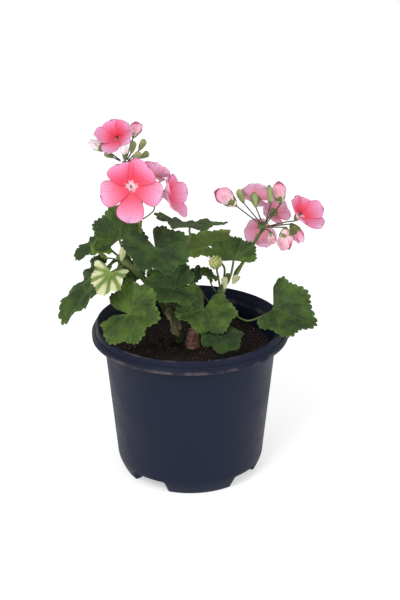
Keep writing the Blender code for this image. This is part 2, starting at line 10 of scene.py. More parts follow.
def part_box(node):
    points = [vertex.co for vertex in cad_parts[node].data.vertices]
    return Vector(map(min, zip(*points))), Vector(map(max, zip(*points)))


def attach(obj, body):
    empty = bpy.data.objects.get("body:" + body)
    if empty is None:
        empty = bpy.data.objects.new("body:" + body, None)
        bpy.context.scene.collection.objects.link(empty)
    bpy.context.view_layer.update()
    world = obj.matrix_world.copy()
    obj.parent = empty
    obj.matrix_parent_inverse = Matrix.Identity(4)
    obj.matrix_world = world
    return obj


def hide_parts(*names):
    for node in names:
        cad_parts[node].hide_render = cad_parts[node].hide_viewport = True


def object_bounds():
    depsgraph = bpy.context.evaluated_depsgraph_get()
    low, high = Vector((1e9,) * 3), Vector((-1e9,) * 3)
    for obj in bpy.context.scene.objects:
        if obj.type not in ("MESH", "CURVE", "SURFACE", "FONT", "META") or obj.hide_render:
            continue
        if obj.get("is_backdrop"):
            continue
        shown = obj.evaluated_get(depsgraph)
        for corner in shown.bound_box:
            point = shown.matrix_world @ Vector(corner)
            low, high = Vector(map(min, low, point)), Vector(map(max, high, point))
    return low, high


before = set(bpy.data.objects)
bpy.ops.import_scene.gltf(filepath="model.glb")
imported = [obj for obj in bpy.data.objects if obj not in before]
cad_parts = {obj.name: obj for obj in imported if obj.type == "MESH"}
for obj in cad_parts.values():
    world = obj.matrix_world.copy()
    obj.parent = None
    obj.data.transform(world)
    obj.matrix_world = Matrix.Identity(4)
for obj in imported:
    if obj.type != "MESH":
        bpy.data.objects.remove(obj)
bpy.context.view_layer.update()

# ---------------------------------------------------------------- pot
# The pot is one thin injection-moulded polypropylene shell: a tapered wall, a stepped rim band that
# leans in, and a rounded bottom standing on four feet. Handling has pushed its rim a little out of
# round and scuffed the lower edge of the band; painted highlight lines run along that edge and the lip's
# top.
MM = 0.001


def linear(hex_code):
    """An sRGB hex colour as the linear colour that shaders take."""
    parts = [int(hex_code[i:i + 2], 16) / 255 for i in (1, 3, 5)]
    return (*(p / 12.92 if p < 0.04045 else ((p + 0.055) / 1.055) ** 2.4 for p in parts), 1.0)


def feed(made, inputs):
    """Sets inputs of a node that is there; each is a value or the socket that feeds it."""
    for key, value in inputs.items():
        if isinstance(value, bpy.types.NodeSocket):
            made.id_data.links.new(value, made.inputs[key])
        else:
            made.inputs[key].default_value = value


def node(tree, kind, inputs=None, out=0, **settings):
    """Adds one node with its settings and links. A shader node goes by its name without ShaderNode."""
    made = tree.nodes.new(kind if "Node" in kind else "ShaderNode" + kind)
    for key, value in settings.items():
        setattr(made, key, value)
    feed(made, inputs or {})
    return made if out is None else made.outputs[out]


def new_finish(name):
    """A material with only its shader. Returns it, a call that adds a node to it, and the shader."""
    finish = bpy.data.materials.new(name)
    finish.use_nodes = True
    tree = finish.node_tree
    return finish, partial(node, tree), tree.nodes["Principled BSDF"]


def skin(grid, slot=0, around=True):
    """Quads over a grid of points (rows, columns, xyz), with UVs: across the row, along the rows."""
    rows, columns = grid.shape[:2]
    steps = columns if around else columns - 1
    faces, uvs = [], []
    for r in range(rows - 1):
        for c in range(steps):
            d = (c + 1) % columns
            faces.append((r * columns + c, r * columns + d, (r + 1) * columns + d, (r + 1) * columns + c))
            u0, u1, v0, v1 = c / steps, (c + 1) / steps, r / (rows - 1), (r + 1) / (rows - 1)
            uvs += [(u0, v0), (u1, v0), (u1, v1), (u0, v1)]
    return grid.reshape(-1, 3), faces, uvs, [slot] * len(faces)


def add_object(name, data):
    made = bpy.data.objects.new(name, data)
    bpy.context.scene.collection.objects.link(made)
    return made


def settle(piece):
    """Gives a piece the plain mesh that its modifiers make, and removes them."""
    mesh = bpy.data.meshes.new_from_object(piece.evaluated_get(bpy.context.evaluated_depsgraph_get()))
    piece.modifiers.clear()
    piece.data = mesh
    mesh.shade_smooth()


def build(name, skins, finishes):
    """One smooth mesh object from several skins, welded, with its faces turned outwards."""
    points, faces, uvs, slots = [], [], [], []
    start = 0
    for p, f, u, s in skins:
        points.append(p)
        faces += [tuple(start + i for i in face) for face in f]
        uvs += u
        slots += s
        start += len(p)
    mesh = bpy.data.meshes.new(name)
    mesh.from_pydata(np.concatenate(points).tolist(), [], faces)
    mesh.uv_layers.new(name="UVMap").data.foreach_set("uv", np.array(uvs, np.float32).ravel())
    mesh.polygons.foreach_set("material_index", np.array(slots, np.int32))
    for finish in finishes:
        mesh.materials.append(finish)
    bm = bmesh.new()
    bm.from_mesh(mesh)
    bmesh.ops.remove_doubles(bm, verts=bm.verts, dist=1e-6)
    bmesh.ops.recalc_face_normals(bm, faces=bm.faces)
    bm.to_mesh(mesh)
    bm.free()
    mesh.shade_smooth()
    return add_object(name, mesh)


def fit_to_frame(piece, slot, *nodes):
    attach(piece, "root")
    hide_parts(*nodes)


pot_low, pot_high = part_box("pot")
lip_r = (pot_high.x - pot_low.x) / 2 / MM
pot_tall = pot_high.z / MM
rim_top_r = lip_r - 4.2
rim_base = pot_tall - 9.6
wall_top_r = lip_r - 9.7
wall_low_r = wall_top_r - 9.5
foot_r = wall_low_r - 5.8
wall = 1.7
corner_tall = 17.0
floor_top, floor_under = 12.8, 11.0
notch_top = 10.6
notch_half, notch_ease, notch_turn = 17.6, 4.0, 54
notches = 4
crush_turn, sag_turn = 186, 196
pot_columns = 240


def pot_corner(z):
    return foot_r + (wall_low_r - foot_r) * math.sin(min(z / corner_tall, 1.0) * math.pi / 2)


def pot_wall(z):
    """How much wider the tapered wall is at a height than where its corner ends."""
    return (wall_top_r - wall_low_r) * (z - corner_tall) / (rim_base - corner_tall)


# The section runs from the middle of the floor up the inside, over the rim and down to the feet.
pot_profile = [(0.0, floor_top), (30.0, floor_top), (pot_corner(floor_top) - 2 * wall, floor_top),
               (pot_corner(floor_top) - wall, 14.0)]
pot_profile += [(pot_corner(z) - wall, z) for z in (15.0, 16.0, 17.0)]
pot_profile += [(wall_low_r - wall + pot_wall(z), z) for z in np.linspace(24, rim_base, 16)]
pot_profile += [(rim_top_r + out, pot_tall - down) for out, down in (
    (-3.4, 3.2), (-2.0, 1.4), (-1.5, 0.3), (-0.9, 0.0), (-0.2, 0.3), (0.2, 1.0),
    (1.4, 3.9), (1.5, 4.3), (2.2, 4.6), (2.5, 5.1))]
pot_profile += [(lip_r - inset, rim_base + up) for inset, up in (
    (0.5, 1.9), (0.1, 1.3), (0.0, 0.7), (0.2, 0.1), (1.4, 0.0), (1.9, 0.6), (3.8, 3.4))]
pot_profile += [(wall_top_r + out, rim_base + up) for out, up in ((1.6, 1.8), (0.4, 0.8), (0.0, -0.4))]
pot_profile += [(wall_low_r + pot_wall(z), z) for z in np.linspace(rim_base - 5, corner_tall, 18)]
pot_profile += [(pot_corner(z), z) for z in (15, 13, 11.6, 10.8, 9.6, 8.2, 6.8, 5.2, 3.8, 2.4, 1.2, 0.4)]
pot_profile += [(foot_r - inset, z) for inset, z in (
    (0.3, 0.0), (5.2, 0.0), (5.5, 0.3), (6.5, 10.2), (7.3, floor_under))]
pot_profile += [(30.0, floor_under), (0.0, floor_under)]
pot_rings = np.zeros((len(pot_profile), pot_columns, 3))
for i, (r, z) in enumerate(pot_profile):
    near_rim = min(max((z - 90) / 37, 0.0), 1.0) ** 2
    for c in range(pot_columns):
        turn = math.tau * c / pot_columns
        degrees = math.degrees(turn)
        off_notch = min(abs((degrees + 90 - notch_turn - 90 * k + 180) % 360 - 180) for k in range(notches))
        opened = min(max((notch_half - off_notch) / notch_ease, 0.0), 1.0)
        opened = opened * opened * (3 - 2 * opened)
        up = z + (notch_top - z) * opened if z < notch_top else z
        crushed = math.exp(-((degrees - crush_turn) / 9) ** 2)
        out = 0.35 * math.sin(2 * turn + 0.6) + 0.25 * math.sin(5 * turn) - 1.1 * crushed
        sag = 0.5 * math.exp(-((degrees - sag_turn) / 7) ** 2)
        radius = r + (out * near_rim if r > 10 else 0.0)
        pot_rings[i, c] = (radius * math.cos(turn), radius * math.sin(turn), up - sag * near_rim)

SMOOTH = {"interpolation_type": "SMOOTHSTEP"}

# Moulded polypropylene, dark navy: faintly grained, dusty in the hollows. The band's lower edge is
# scuffed grey-brown with a painted highlight over it, and the lip's top has a painted highlight line.
pot_plastic, add, shader = new_finish("moulded_polypropylene")
place = add("TexCoord", out="Object")
height = add("SeparateXYZ", {0: place}, out="Z")
cloud = add("TexNoise", {"Vector": place, "Scale": 45.0, "Detail": 6.0, "Roughness": 0.6})
stretch = add("Mapping", {"Vector": place, "Scale": (1.0, 1.0, 0.12)})
streak = add("TexNoise", {"Vector": stretch, "Scale": 420.0, "Detail": 4.0})
speck = add("TexNoise", {"Vector": place, "Scale": 900.0, "Detail": 3.0, "Roughness": 0.7})
dust = add("MapRange", {"Value": streak, "From Min": 0.55, "From Max": 0.9, "To Max": 0.07}, **SMOOTH)
# The band's lower edge: real scuffs and a painted highlight line, in one grey-brown mark.
edge_low = add("MapRange", {"Value": height, "From Min": (rim_base - 0.6) * MM,
                            "From Max": (rim_base + 0.6) * MM})
edge_high = add("MapRange", {"Value": height, "From Min": (rim_base + 1.4) * MM,
                             "From Max": (rim_base + 3.0) * MM, "To Min": 1.0, "To Max": 0.0})
edge = add("Math", {0: edge_low, 1: edge_high}, operation="MULTIPLY")
# Painted highlight along the top of the lip.
lip_highlight = add("MapRange", {"Value": height, "From Min": (pot_tall - 1.0) * MM,
                            "From Max": (pot_tall - 0.1) * MM, "To Max": 0.7})
edge = add("Math", {0: edge, 1: lip_highlight}, operation="MAXIMUM")
# Patchy grey-brown on those edges: scuffs on the band's edge, painted highlight on both.
scuff_and_highlight = add("MapRange", {"Value": cloud, "From Min": 0.42, "From Max": 0.68, "To Max": 0.8}, **SMOOTH)
scuff_and_highlight = add("Math", {0: scuff_and_highlight, 1: edge}, operation="MULTIPLY")
base = linear("#13182c")
for share, colour in ((cloud, "#1a2035"), (dust, "#4a4d58"), (scuff_and_highlight, "#6f6460")):
    base = add("Mix", {0: share, 6: base, 7: linear(colour)}, 2, data_type="RGBA")
rough = add("MapRange", {"Value": cloud, "From Min": 0.3, "From Max": 0.7, "To Min": 0.42, "To Max": 0.6})
grain = add("Bump", {"Height": speck, "Strength": 0.25, "Distance": 0.0002})
feed(shader, {"Base Color": base, "Roughness": rough, "Normal": grain, "Specular IOR Level": 0.14})

pot = build("nursery_pot", [skin(pot_rings * MM)], [pot_plastic])
drain_r, drain_ring = 4.5 * MM, 34 * MM
drill = bmesh.new()
for k in range(4):
    spot = (Matrix.Rotation(math.radians(45 + 90 * k), 4, "Z")
            @ Matrix.Translation((drain_ring, 0, (floor_top + floor_under) / 2 * MM)))
    bmesh.ops.create_cone(drill, cap_ends=True, segments=32, radius1=drain_r, radius2=drain_r,
                          depth=6 * MM, matrix=spot)
drain_drill = add_object("drain_drill", bpy.data.meshes.new("drain_drill"))
drill.to_mesh(drain_drill.data)
drill.free()
holes = pot.modifiers.new("drain_holes", "BOOLEAN")
holes.operation = "DIFFERENCE"
holes.object = drain_drill
settle(pot)
bpy.data.objects.remove(drain_drill)
pot.data.set_sharp_from_angle(angle=math.radians(38))
fit_to_frame(pot, "pot", "pot")

# ---------------------------------------------------------------- soil
# Peat and bark potting mix that fills the pot to 2 cm below its rim. It is dark and damp, with
# coarse crumbs, reddish bark chips and a few pale grains lying loose on top.
soil_low, soil_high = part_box("soil")
soil_r = (soil_high.x - soil_low.x) / 2 / MM
soil_top = soil_high.z / MM
soil_columns = 180
soil_rows = [(soil_r * s, soil_top - 2.0 * s * s, 1.0) for s in np.linspace(0.0, 1.0, 54)]
soil_rows += [(wall_low_r - 2.4 + pot_wall(z), z, 0.0) for z in np.linspace(soil_top - 6, corner_tall, 5)]
soil_rows += [(pot_corner(soil_low.z / MM) - 4.2, soil_low.z / MM, 0.0),
              (0.0, soil_low.z / MM, 0.0)]
soil_rings = np.zeros((len(soil_rows), soil_columns, 3))
for i, (r, z, loose) in enumerate(soil_rows):
    for c in range(soil_columns):
        x, y = r * math.cos(math.tau * c / soil_columns), r * math.sin(math.tau * c / soil_columns)
        spot = Vector((x, y, 0.0))
        bump = 1.3 * noise.noise(spot / 17) + 0.8 * noise.noise(spot / 5.5) + 0.45 * noise.noise(spot / 2.1)
        soil_rings[i, c] = (x, y, z + bump * loose)
soil_mix, add, shader = new_finish("peat_and_bark_mix")
place = add("TexCoord", out="Object")
clump = add("TexNoise", {"Vector": place, "Scale": 160.0, "Detail": 8.0, "Roughness": 0.72})
crumb = add("TexVoronoi", {"Vector": place, "Scale": 520.0, "Randomness": 1.0})
dark = add("MapRange", {"Value": clump, "From Min": 0.35, "From Max": 0.7}, **SMOOTH)
base = add("Mix", {0: dark, 6: linear("#080504"), 7: linear("#26130b")}, 2, data_type="RGBA")
rugged = add("Math", {0: crumb, 1: clump}, operation="ADD")
relief = add("Bump", {"Height": rugged, "Strength": 0.9, "Distance": 0.0012})
feed(shader, {"Base Color": base, "Normal": relief, "Roughness": 0.85})
soil = build("potting_soil", [skin(soil_rings * MM)], [soil_mix])
fit_to_frame(soil, "soil", "soil")


def grain_finish(name, first, second, roughness):
    """A dull mineral or woody finish whose colour changes from grain to grain."""
    finish, add, shader = new_finish(name)
    place = add("TexCoord", out="Object")
    patch = add("TexNoise", {"Vector": place, "Scale": 300.0, "Detail": 5.0})
    mixed = add("MapRange", {"Value": patch, "From Min": 0.35, "From Max": 0.65})
    base = add("Mix", {0: mixed, 6: linear(first), 7: linear(second)}, 2, data_type="RGBA")
    relief = add("Bump", {"Height": patch, "Strength": 0.6, "Distance": 0.0005})
    feed(shader, {"Base Color": base, "Normal": relief, "Roughness": roughness})
    return finish


def scatter_tree():
    """Loose grains strewn over upward faces within a radius, each turned and sized at random."""
    tree = bpy.data.node_groups.new("strewn_grains", "GeometryNodeTree")
    face = tree.interface
    face.new_socket("Geometry", in_out="INPUT", socket_type="NodeSocketGeometry")
    for title in ("Grains per square metre", "Smallest", "Largest", "Flatness", "Spread radius"):
        face.new_socket(title, in_out="INPUT", socket_type="NodeSocketFloat")
    face.new_socket("Seed", in_out="INPUT", socket_type="NodeSocketInt")
    face.new_socket("Finish", in_out="INPUT", socket_type="NodeSocketMaterial")
    face.new_socket("Geometry", in_out="OUTPUT", socket_type="NodeSocketGeometry")
    add = partial(node, tree)
    given = add("NodeGroupInput", out=None).outputs
    where = add("GeometryNodeInputPosition")
    flat = add("VectorMath", {0: where, 1: (1.0, 1.0, 0.0)}, operation="MULTIPLY")
    reach = add("VectorMath", {0: flat}, "Value", operation="LENGTH")
    inside = add("FunctionNodeCompare", {0: reach, 1: given["Spread radius"]}, operation="LESS_THAN")
    level = add("SeparateXYZ", {0: add("GeometryNodeInputNormal")}, out="Z")
    upward = add("FunctionNodeCompare", {0: level, 1: 0.2}, operation="GREATER_THAN")
    chosen = add("FunctionNodeBooleanMath", {0: inside, 1: upward}, operation="AND")
    spots = add("GeometryNodeDistributePointsOnFaces",
                {"Mesh": given["Geometry"], "Selection": chosen, "Seed": given["Seed"],
                 "Density": given["Grains per square metre"]})
    lump = add("GeometryNodeMeshIcoSphere", {"Radius": 1.0, "Subdivisions": 2})
    rough = add("TexNoise", {"Vector": where, "Scale": 1.1}, "Color")
    shove = add("VectorMath", {0: rough, 1: (0.5, 0.5, 0.5)}, operation="SUBTRACT")
    lump = add("GeometryNodeSetPosition", {"Geometry": lump, "Offset": shove})
    turn = add("FunctionNodeRandomValue", {"Max": (6.28, 6.28, 6.28), "Seed": given["Seed"]},
               data_type="FLOAT_VECTOR")
    size = add("FunctionNodeRandomValue", {2: given["Smallest"], 3: given["Largest"],
                                           "Seed": given["Seed"]}, 1, data_type="FLOAT")
    shape = add("CombineXYZ", {0: 1.0, 1: 0.75, 2: given["Flatness"]})
    scale = add("VectorMath", {0: shape, 3: size}, operation="SCALE")
    placed = add("GeometryNodeInstanceOnPoints", {"Points": spots, "Instance": lump,
                                                  "Rotation": turn, "Scale": scale})
    solid = add("GeometryNodeRealizeInstances", {"Geometry": placed})
    solid = add("GeometryNodeSetMaterial", {"Geometry": solid, "Material": given["Finish"]})
    add("NodeGroupOutput", {"Geometry": solid}, out=None)
    return tree


strewn_grains = scatter_tree()


def strew(name, ground, per_square_metre, sizes, flatness, radius, seed, finish):
    """Runs the grains tree over a copy of the ground and keeps the result as a plain mesh."""
    piece = add_object(name, ground.data)
    modifier = piece.modifiers.new("grains", "NODES")
    modifier.node_group = strewn_grains
    values = {"Grains per square metre": float(per_square_metre), "Smallest": sizes[0] * MM,
              "Largest": sizes[1] * MM, "Flatness": flatness, "Spread radius": radius * MM,
              "Seed": seed, "Finish": finish}
    for item in strewn_grains.interface.items_tree:
        if item.in_out == "INPUT" and item.name in values:
            modifier[item.identifier] = values[item.name]
    settle(piece)
    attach(piece, "root")


peat_crumbs = grain_finish("damp_peat_crumbs", "#0b0605", "#2e170d", 0.8)
bark_chips = grain_finish("composted_bark_chips", "#2c140c", "#6e3522", 0.75)
pale_grains = grain_finish("perlite_and_grit", "#8d7a62", "#d8c8ae", 0.7)
strew("peat_crumbs", soil, 150000, (0.5, 1.3), 0.7, soil_r - 1.5, 3, peat_crumbs)
strew("bark_chips", soil, 26000, (0.5, 1.5), 0.5, soil_r - 2.5, 11, bark_chips)
strew("perlite_grains", soil, 7000, (0.25, 0.6), 0.8, soil_r - 2.5, 29, pale_grains)

# ---------------------------------------------------------------- stems
# Two soft green shoots rise from the soil, and three flower stalks leave them. Each swells a little
# at its joints, is finely ribbed and downy, and a stalk ends in the knob its flowers grow from.


def unit(way):
    return way / np.linalg.norm(way)


def welded(name):
    """A copy of a CAD node's mesh with its loose triangles joined."""
    bm = bmesh.new()
    bm.from_mesh(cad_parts[name].data)
    bmesh.ops.remove_doubles(bm, verts=bm.verts, dist=2e-5)
    bm.normal_update()
    return bm


def stalk_rows(name, sides, start=None):
    """Centres and radii, in mm, along the round stalk of a CAD node, from its free end."""
    bm = welded(name)
    best, seen = [], set()
    for first in bm.faces:
        if first in seen:
            continue
        flat, stack = [first], [first]
        seen.add(first)
        while stack:
            for edge in stack.pop().edges:
                for face in edge.link_faces:
                    if face not in seen and face.normal.dot(first.normal) > 0.9999:
                        seen.add(face)
                        flat.append(face)
                        stack.append(face)
        if len(flat) != sides - 2:
            continue
        layer = {v for face in flat for v in face.verts}
        used, rows = set(layer), []
        while sides - 3 <= len(layer) <= sides + 1:
            ring = sorted(layer, key=lambda v: v.index)
            middle = sum((v.co for v in ring), Vector()) / len(ring)
            spread = sum((v.co - middle).length for v in ring) / len(ring)
            rows.append((np.array(middle) / MM, spread / MM))
            layer = {e.other_vert(v) for v in layer for e in v.link_edges} - used
            used |= layer
        if len(rows) > len(best):
            best = rows
    bm.free()
    if start is not None and (np.linalg.norm(best[-1][0] - start) < np.linalg.norm(best[0][0] - start)):
        best.reverse()
    return best


def finer(points, step):
    """The same route through the points (n, k), as a smooth curve sampled about every step mm."""
    points = np.asarray(points, float)
    ends = np.vstack([2 * points[0] - points[1], points, 2 * points[-1] - points[-2]])
    out = []
    for i in range(1, len(ends) - 2):
        a, b, c, d = ends[i - 1:i + 3]
        count = max(1, int(round(np.linalg.norm((c - b)[:3]) / step)))
        for t in np.arange(count) / count:
            out.append(0.5 * (2 * b + (c - a) * t + (2 * a - 5 * b + 4 * c - d) * t * t
                              + (3 * b - a - 3 * c + d) * t ** 3))
    out.append(points[-1])
    return np.array(out)


def tube(rows, sides, step, slot=0, rib=0.0):
    """A round tube in metres along rows of (point, radius), closed at both ends."""
    line = finer(np.array([[*p, r] for p, r in rows]), step)
    centres, radii = line[:, :3], line[:, 3]
    ahead = np.gradient(centres, axis=0)
    ahead /= np.linalg.norm(ahead, axis=1, keepdims=True) + 1e-12
    side = np.cross(ahead[0], (0.3, 1.0, 0.2))
    rings = []
    turns = np.arange(sides) * math.tau / sides
    for centre, radius, way in zip(centres, radii, ahead):
        side = unit(side - way * side.dot(way))
        other = np.cross(way, side)
        swell = radius * (1 + rib * np.cos(5 * turns))
        rings.append(centre + np.outer(swell * np.cos(turns), side)
                     + np.outer(swell * np.sin(turns), other))
    rings.insert(0, np.repeat(centres[:1], sides, 0))
    rings.append(np.repeat(centres[-1:] + ahead[-1:] * radii[-1] * 0.35, sides, 0))
    return skin(np.array(rings) * MM, slot)


# Herbaceous stem: a thin waxy skin over soft green tissue, yellow-green with darker, redder patches.
def stem_finish(name, pale, deep, flush, roughness=0.5):
    finish, add, shader = new_finish(name)
    place = add("TexCoord", out="Object")
    patch = add("TexNoise", {"Vector": place, "Scale": 110.0, "Detail": 5.0})
    down = add("TexNoise", {"Vector": place, "Scale": 1500.0, "Detail": 2.0})
    mixed = add("MapRange", {"Value": patch, "From Min": 0.35, "From Max": 0.65})
    blush = add("MapRange", {"Value": patch, "From Min": 0.56, "From Max": 0.7, "To Max": 0.55}, **SMOOTH)
    base = linear(deep)
    for share, colour in ((mixed, pale), (blush, flush)):
        base = add("Mix", {0: share, 6: base, 7: linear(colour)}, 2, data_type="RGBA")
    relief = add("Bump", {"Height": down, "Strength": 0.5, "Distance": 0.0002})
    feed(shader, {"Base Color": base, "Normal": relief, "Roughness": roughness,
                  "Subsurface Weight": 0.08, "Subsurface Radius": (0.001, 0.0015, 0.0005)})
    return finish


green_stem = stem_finish("green_shoot_skin", "#7c8a4c", "#4b5c2c", "#5b4a2c")
stalk_skin = stem_finish("petiole_skin", "#74863f", "#43552a", "#5c4630")
flower_stalk = stem_finish("pedicel_skin", "#5b5632", "#3d3a22", "#5a3428")

shoot_joints = {"left_shoot": (0.3, 0.45, 0.62, 0.76, 0.9), "right_shoot": (0.3, 0.52, 0.72, 0.88)}
for name, joints in shoot_joints.items():
    rows = stalk_rows(name, 8, np.array((0.0, 0.0, 0.0)))
    line = finer(np.array([[*p, r] for p, r in rows]), 1.5)
    for share in joints:
        along = np.arange(len(line)) / len(line)
        line[:, 3] *= 1 + 0.16 * np.exp(-((along - share) / 0.03) ** 2)
    shoot = build(name + "_stem", [tube([(p[:3], p[3]) for p in line], 20, 1.5, rib=0.03)], [green_stem])
    fit_to_frame(shoot, "stem", name)

umbels = {}
for letter in "abc":
    name = "peduncle_" + letter
    rows = stalk_rows(name, 8, np.array((0.0, 0.0, 0.0)))
    umbels[letter] = rows[-1][0]
    stalk = build(name + "_stalk", [tube(rows, 16, 1.2, rib=0.04)], [stalk_skin])
    fit_to_frame(stalk, "stem", name)

# ---------------------------------------------------------------- leaves
# Each leaf is a soft round blade with seven shallow lobes and a scalloped edge, cupped round the top
# of its stalk. Veins fan out from there and fork; the blade puffs up between them. The upper side
# is downy and darker, the underside paler.
VEINS = 7


def vein_field(angle, share):
    """How much of a main vein and of a side vein lies at an angle and share of a blade's radius."""
    turn = angle / math.tau * VEINS
    off = np.abs(turn - np.round(turn))
    main = np.exp(-(off * share * 0.9 / (0.012 + 0.016 * (1 - share))) ** 2)
    rank = share * (1 - 1.29 * off) * 5
    side = np.exp(-((rank - np.round(rank)) / 0.13) ** 2) * np.clip((rank - 1.2) * 2, 0, 1)
    return main, side, rank


def leaf_edge(angle, reach, width, opening):
    base = np.where(np.abs(angle) > math.pi / 2, reach * width * (1 - 0.12 * np.cos(angle) ** 2),
                    reach * (1 - (1 - width) * np.sin(angle) ** 2))
    corner = np.clip((np.abs(angle) - opening + 0.4) / 0.4, 0, 1)
    return base * (1 - 0.07 * (1 - np.cos(VEINS * angle))) * (1 - 0.34 * corner ** 2)


def outward(grid):
    """Unit normals over a grid of points, to the side where columns run anticlockwise."""
    down, across = np.gradient(grid, axis=0), np.gradient(grid, axis=1)
    normals = np.cross(down, across)
    lengths = np.linalg.norm(normals, axis=2, keepdims=True)
    normals = normals / np.maximum(lengths, 1e-9)
    normals[0] = normals[1:3].mean(axis=(0, 1))
    return normals / np.maximum(np.linalg.norm(normals, axis=2, keepdims=True), 1e-9)


def slab(grid, thickness, top=0, under=1):
    """A closed sheet, in metres, from an open grid of points in mm; its rim closes the two faces."""
    lower = grid - outward(grid) * thickness
    skins = [skin(grid * MM, top, False), skin(lower * MM, under, False)]
    rows, columns = grid.shape[:2]
    tour = [(0, c) for c in range(columns)] + [(r, columns - 1) for r in range(1, rows)]
    tour += [(rows - 1, c) for c in range(columns - 2, -1, -1)] + [(r, 0) for r in range(rows - 2, 0, -1)]
    loop = np.array([[grid[t] for t in tour], [lower[t] for t in tour]]) * MM
    points, faces, _, slots = skin(loop, top)
    uvs = []
    for i in range(len(tour)):
        for r, c in (tour[i], tour[(i + 1) % len(tour)], tour[(i + 1) % len(tour)], tour[i]):
            uvs.append((c / (columns - 1), r / (rows - 1)))
    return skins + [(points, faces, uvs, slots)]


def off_line(add, value):
    """How far a value lies from the middle between two whole numbers, 0 to 0.5."""
    for step, amount in (("FRACT", 0.0), ("SUBTRACT", 0.5), ("ABSOLUTE", 0.0)):
        value = add("Math", {0: value, 1: amount}, operation=step)
    return value


def leaf_finish(name, deep, fresh, vein, edge, under=False, pleated=False):
    """Leaf tissue. The UV runs round the blade in U and out from its stalk in V."""
    finish, add, shader = new_finish(name)
    place = add("TexCoord", out="Object")
    along = add("UVMap", uv_map="UVMap")
    outward_share = add("SeparateXYZ", {0: along}, out="Y")
    # Each leaf's colour multiplier: its own tone, with painted shade on the leaves behind and under others.
    tone_and_shade = add("Attribute", out="Color", attribute_name="leaf_tone_and_shade")
    span = add("Attribute", out="Fac", attribute_name="leaf_turn")
    off = off_line(add, add("Math", {0: span, 1: 0.5}, operation="ADD"))
    aside = add("Math", {0: off, 1: outward_share}, operation="MULTIPLY")
    main = add("MapRange", {"Value": aside, "From Min": 0.004, "From Max": 0.024,
                            "To Min": 1.0, "To Max": 0.0}, **SMOOTH)
    lean = add("Math", {0: off, 1: -1.29, 2: 1.0}, operation="MULTIPLY_ADD")
    rank = add("Math", {0: lean, 1: outward_share}, operation="MULTIPLY")
    rank = add("Math", {0: rank, 1: 5.0, 2: 0.5}, operation="MULTIPLY_ADD")
    fork = add("MapRange", {"Value": off_line(add, rank), "From Min": 0.03, "From Max": 0.13,
                            "To Min": 0.4, "To Max": 0.0}, **SMOOTH)
    grown = add("MapRange", {"Value": rank, "From Min": 1.6, "From Max": 2.0})
    fork = add("Math", {0: fork, 1: grown}, operation="MULTIPLY")
    veins = add("Math", {0: main, 1: fork}, operation="MAXIMUM")
    cells = add("TexVoronoi", {"Vector": place, "Scale": 620.0}, feature="DISTANCE_TO_EDGE")
    net = add("MapRange", {"Value": cells, "From Min": 0.0, "From Max": 0.16,
                           "To Min": 0.22, "To Max": 0.0})
    patch = add("TexNoise", {"Vector": place, "Scale": 75.0, "Detail": 5.0, "Roughness": 0.6})
    mixed = add("MapRange", {"Value": patch, "From Min": 0.36, "From Max": 0.66}, **SMOOTH)
    layers = [(mixed, fresh), (net, vein)]
    if not pleated:
        zone_in = add("MapRange", {"Value": outward_share, "From Min": 0.4, "From Max": 0.58,
                                   "To Max": 0.3}, **SMOOTH)
        zone_out = add("MapRange", {"Value": outward_share, "From Min": 0.62, "From Max": 0.8,
                                    "To Min": 1.0, "To Max": 0.0})
        layers.append((add("Math", {0: zone_in, 1: zone_out}, operation="MULTIPLY"), deep))
    lit = add("Math", {0: veins, 1: 0.62 if pleated else 0.2}, operation="MULTIPLY")
    wobble = add("Math", {0: patch, 1: 0.3, 2: outward_share}, operation="MULTIPLY_ADD")
    rim_from, rim_to, rim_share = (0.4, 0.8, 1.0) if pleated else (1.06, 1.16, 0.45)
    rim = add("MapRange", {"Value": wobble, "From Min": rim_from, "From Max": rim_to,
                           "To Max": rim_share}, **SMOOTH)
    if pleated:
        folds = add("Math", {0: span, 1: math.tau * 1.5}, operation="MULTIPLY")
        folds = add("Math", {0: folds}, operation="COSINE")
        ribbon = add("Math", {0: wobble, 1: 0.5, 2: folds}, operation="MULTIPLY_ADD")
        ribbon = add("MapRange", {"Value": ribbon, "From Min": -0.35, "From Max": 1.1}, **SMOOTH)
        rim = add("Math", {0: ribbon, 1: rim}, operation="MULTIPLY")
    base = linear(deep)
    for share, colour in layers + [(lit, vein), (rim, edge)]:
        base = add("Mix", {0: share, 6: base, 7: linear(colour)}, 2, data_type="RGBA")
    # Multiplies in the leaf's own tone and its painted shade.
    base = add("Mix", {0: 1.0, 6: base, 7: tone_and_shade}, 2, data_type="RGBA", blend_type="MULTIPLY")
    relief = add("TexNoise", {"Vector": place, "Scale": 1600.0, "Detail": 2.0})
    for height, depth in ((veins, 1.2 if under else -0.5), (net, 0.8 if under else -0.8)):
        relief = add("Math", {0: height, 1: depth, 2: relief}, operation="MULTIPLY_ADD")
    bump = add("Bump", {"Height": relief, "Strength": 0.55, "Distance": 0.0005})
    feed(shader, {"Base Color": base, "Normal": bump, "Roughness": 0.62,
                  "Specular IOR Level": 0.35, "Sheen Weight": 0.04})
    return finish


leaf_colours = {
    "leaf": (("downy_leaf", "#263c12", "#4e6b21", "#788f58", "#62803a"),
             ("leaf_underside", "#435a2c", "#5f783e", "#8a9d6c", "#708850")),
    "leaf_yellow_green": (("young_leaf", "#5e7a2a", "#8ca43e", "#a3ac68", "#8e9a44"),
                          ("young_leaf_underside", "#6b7d44", "#8a9a58", "#aeb888", "#98a25c")),
    "leaf_variegated": (("cream_edged_leaf", "#5f7f33", "#87a14e", "#a9ba74", "#dfe0b0"),
                        ("cream_edged_underside", "#88995f", "#a3b27a", "#d0d6ac", "#ecebc9")),
    "leaf_dried": (("withered_leaf", "#4a4a2e", "#777353", "#8d8765", "#8a7b52"),
                   ("withered_underside", "#5a573c", "#85805e", "#9b9573", "#8a7b52")),
}
leaf_kinds = {kind: [leaf_finish(*colours, under=bool(face), pleated=kind == "leaf_variegated")
                     for face, colours in enumerate(faces)]
              for kind, faces in leaf_colours.items()}
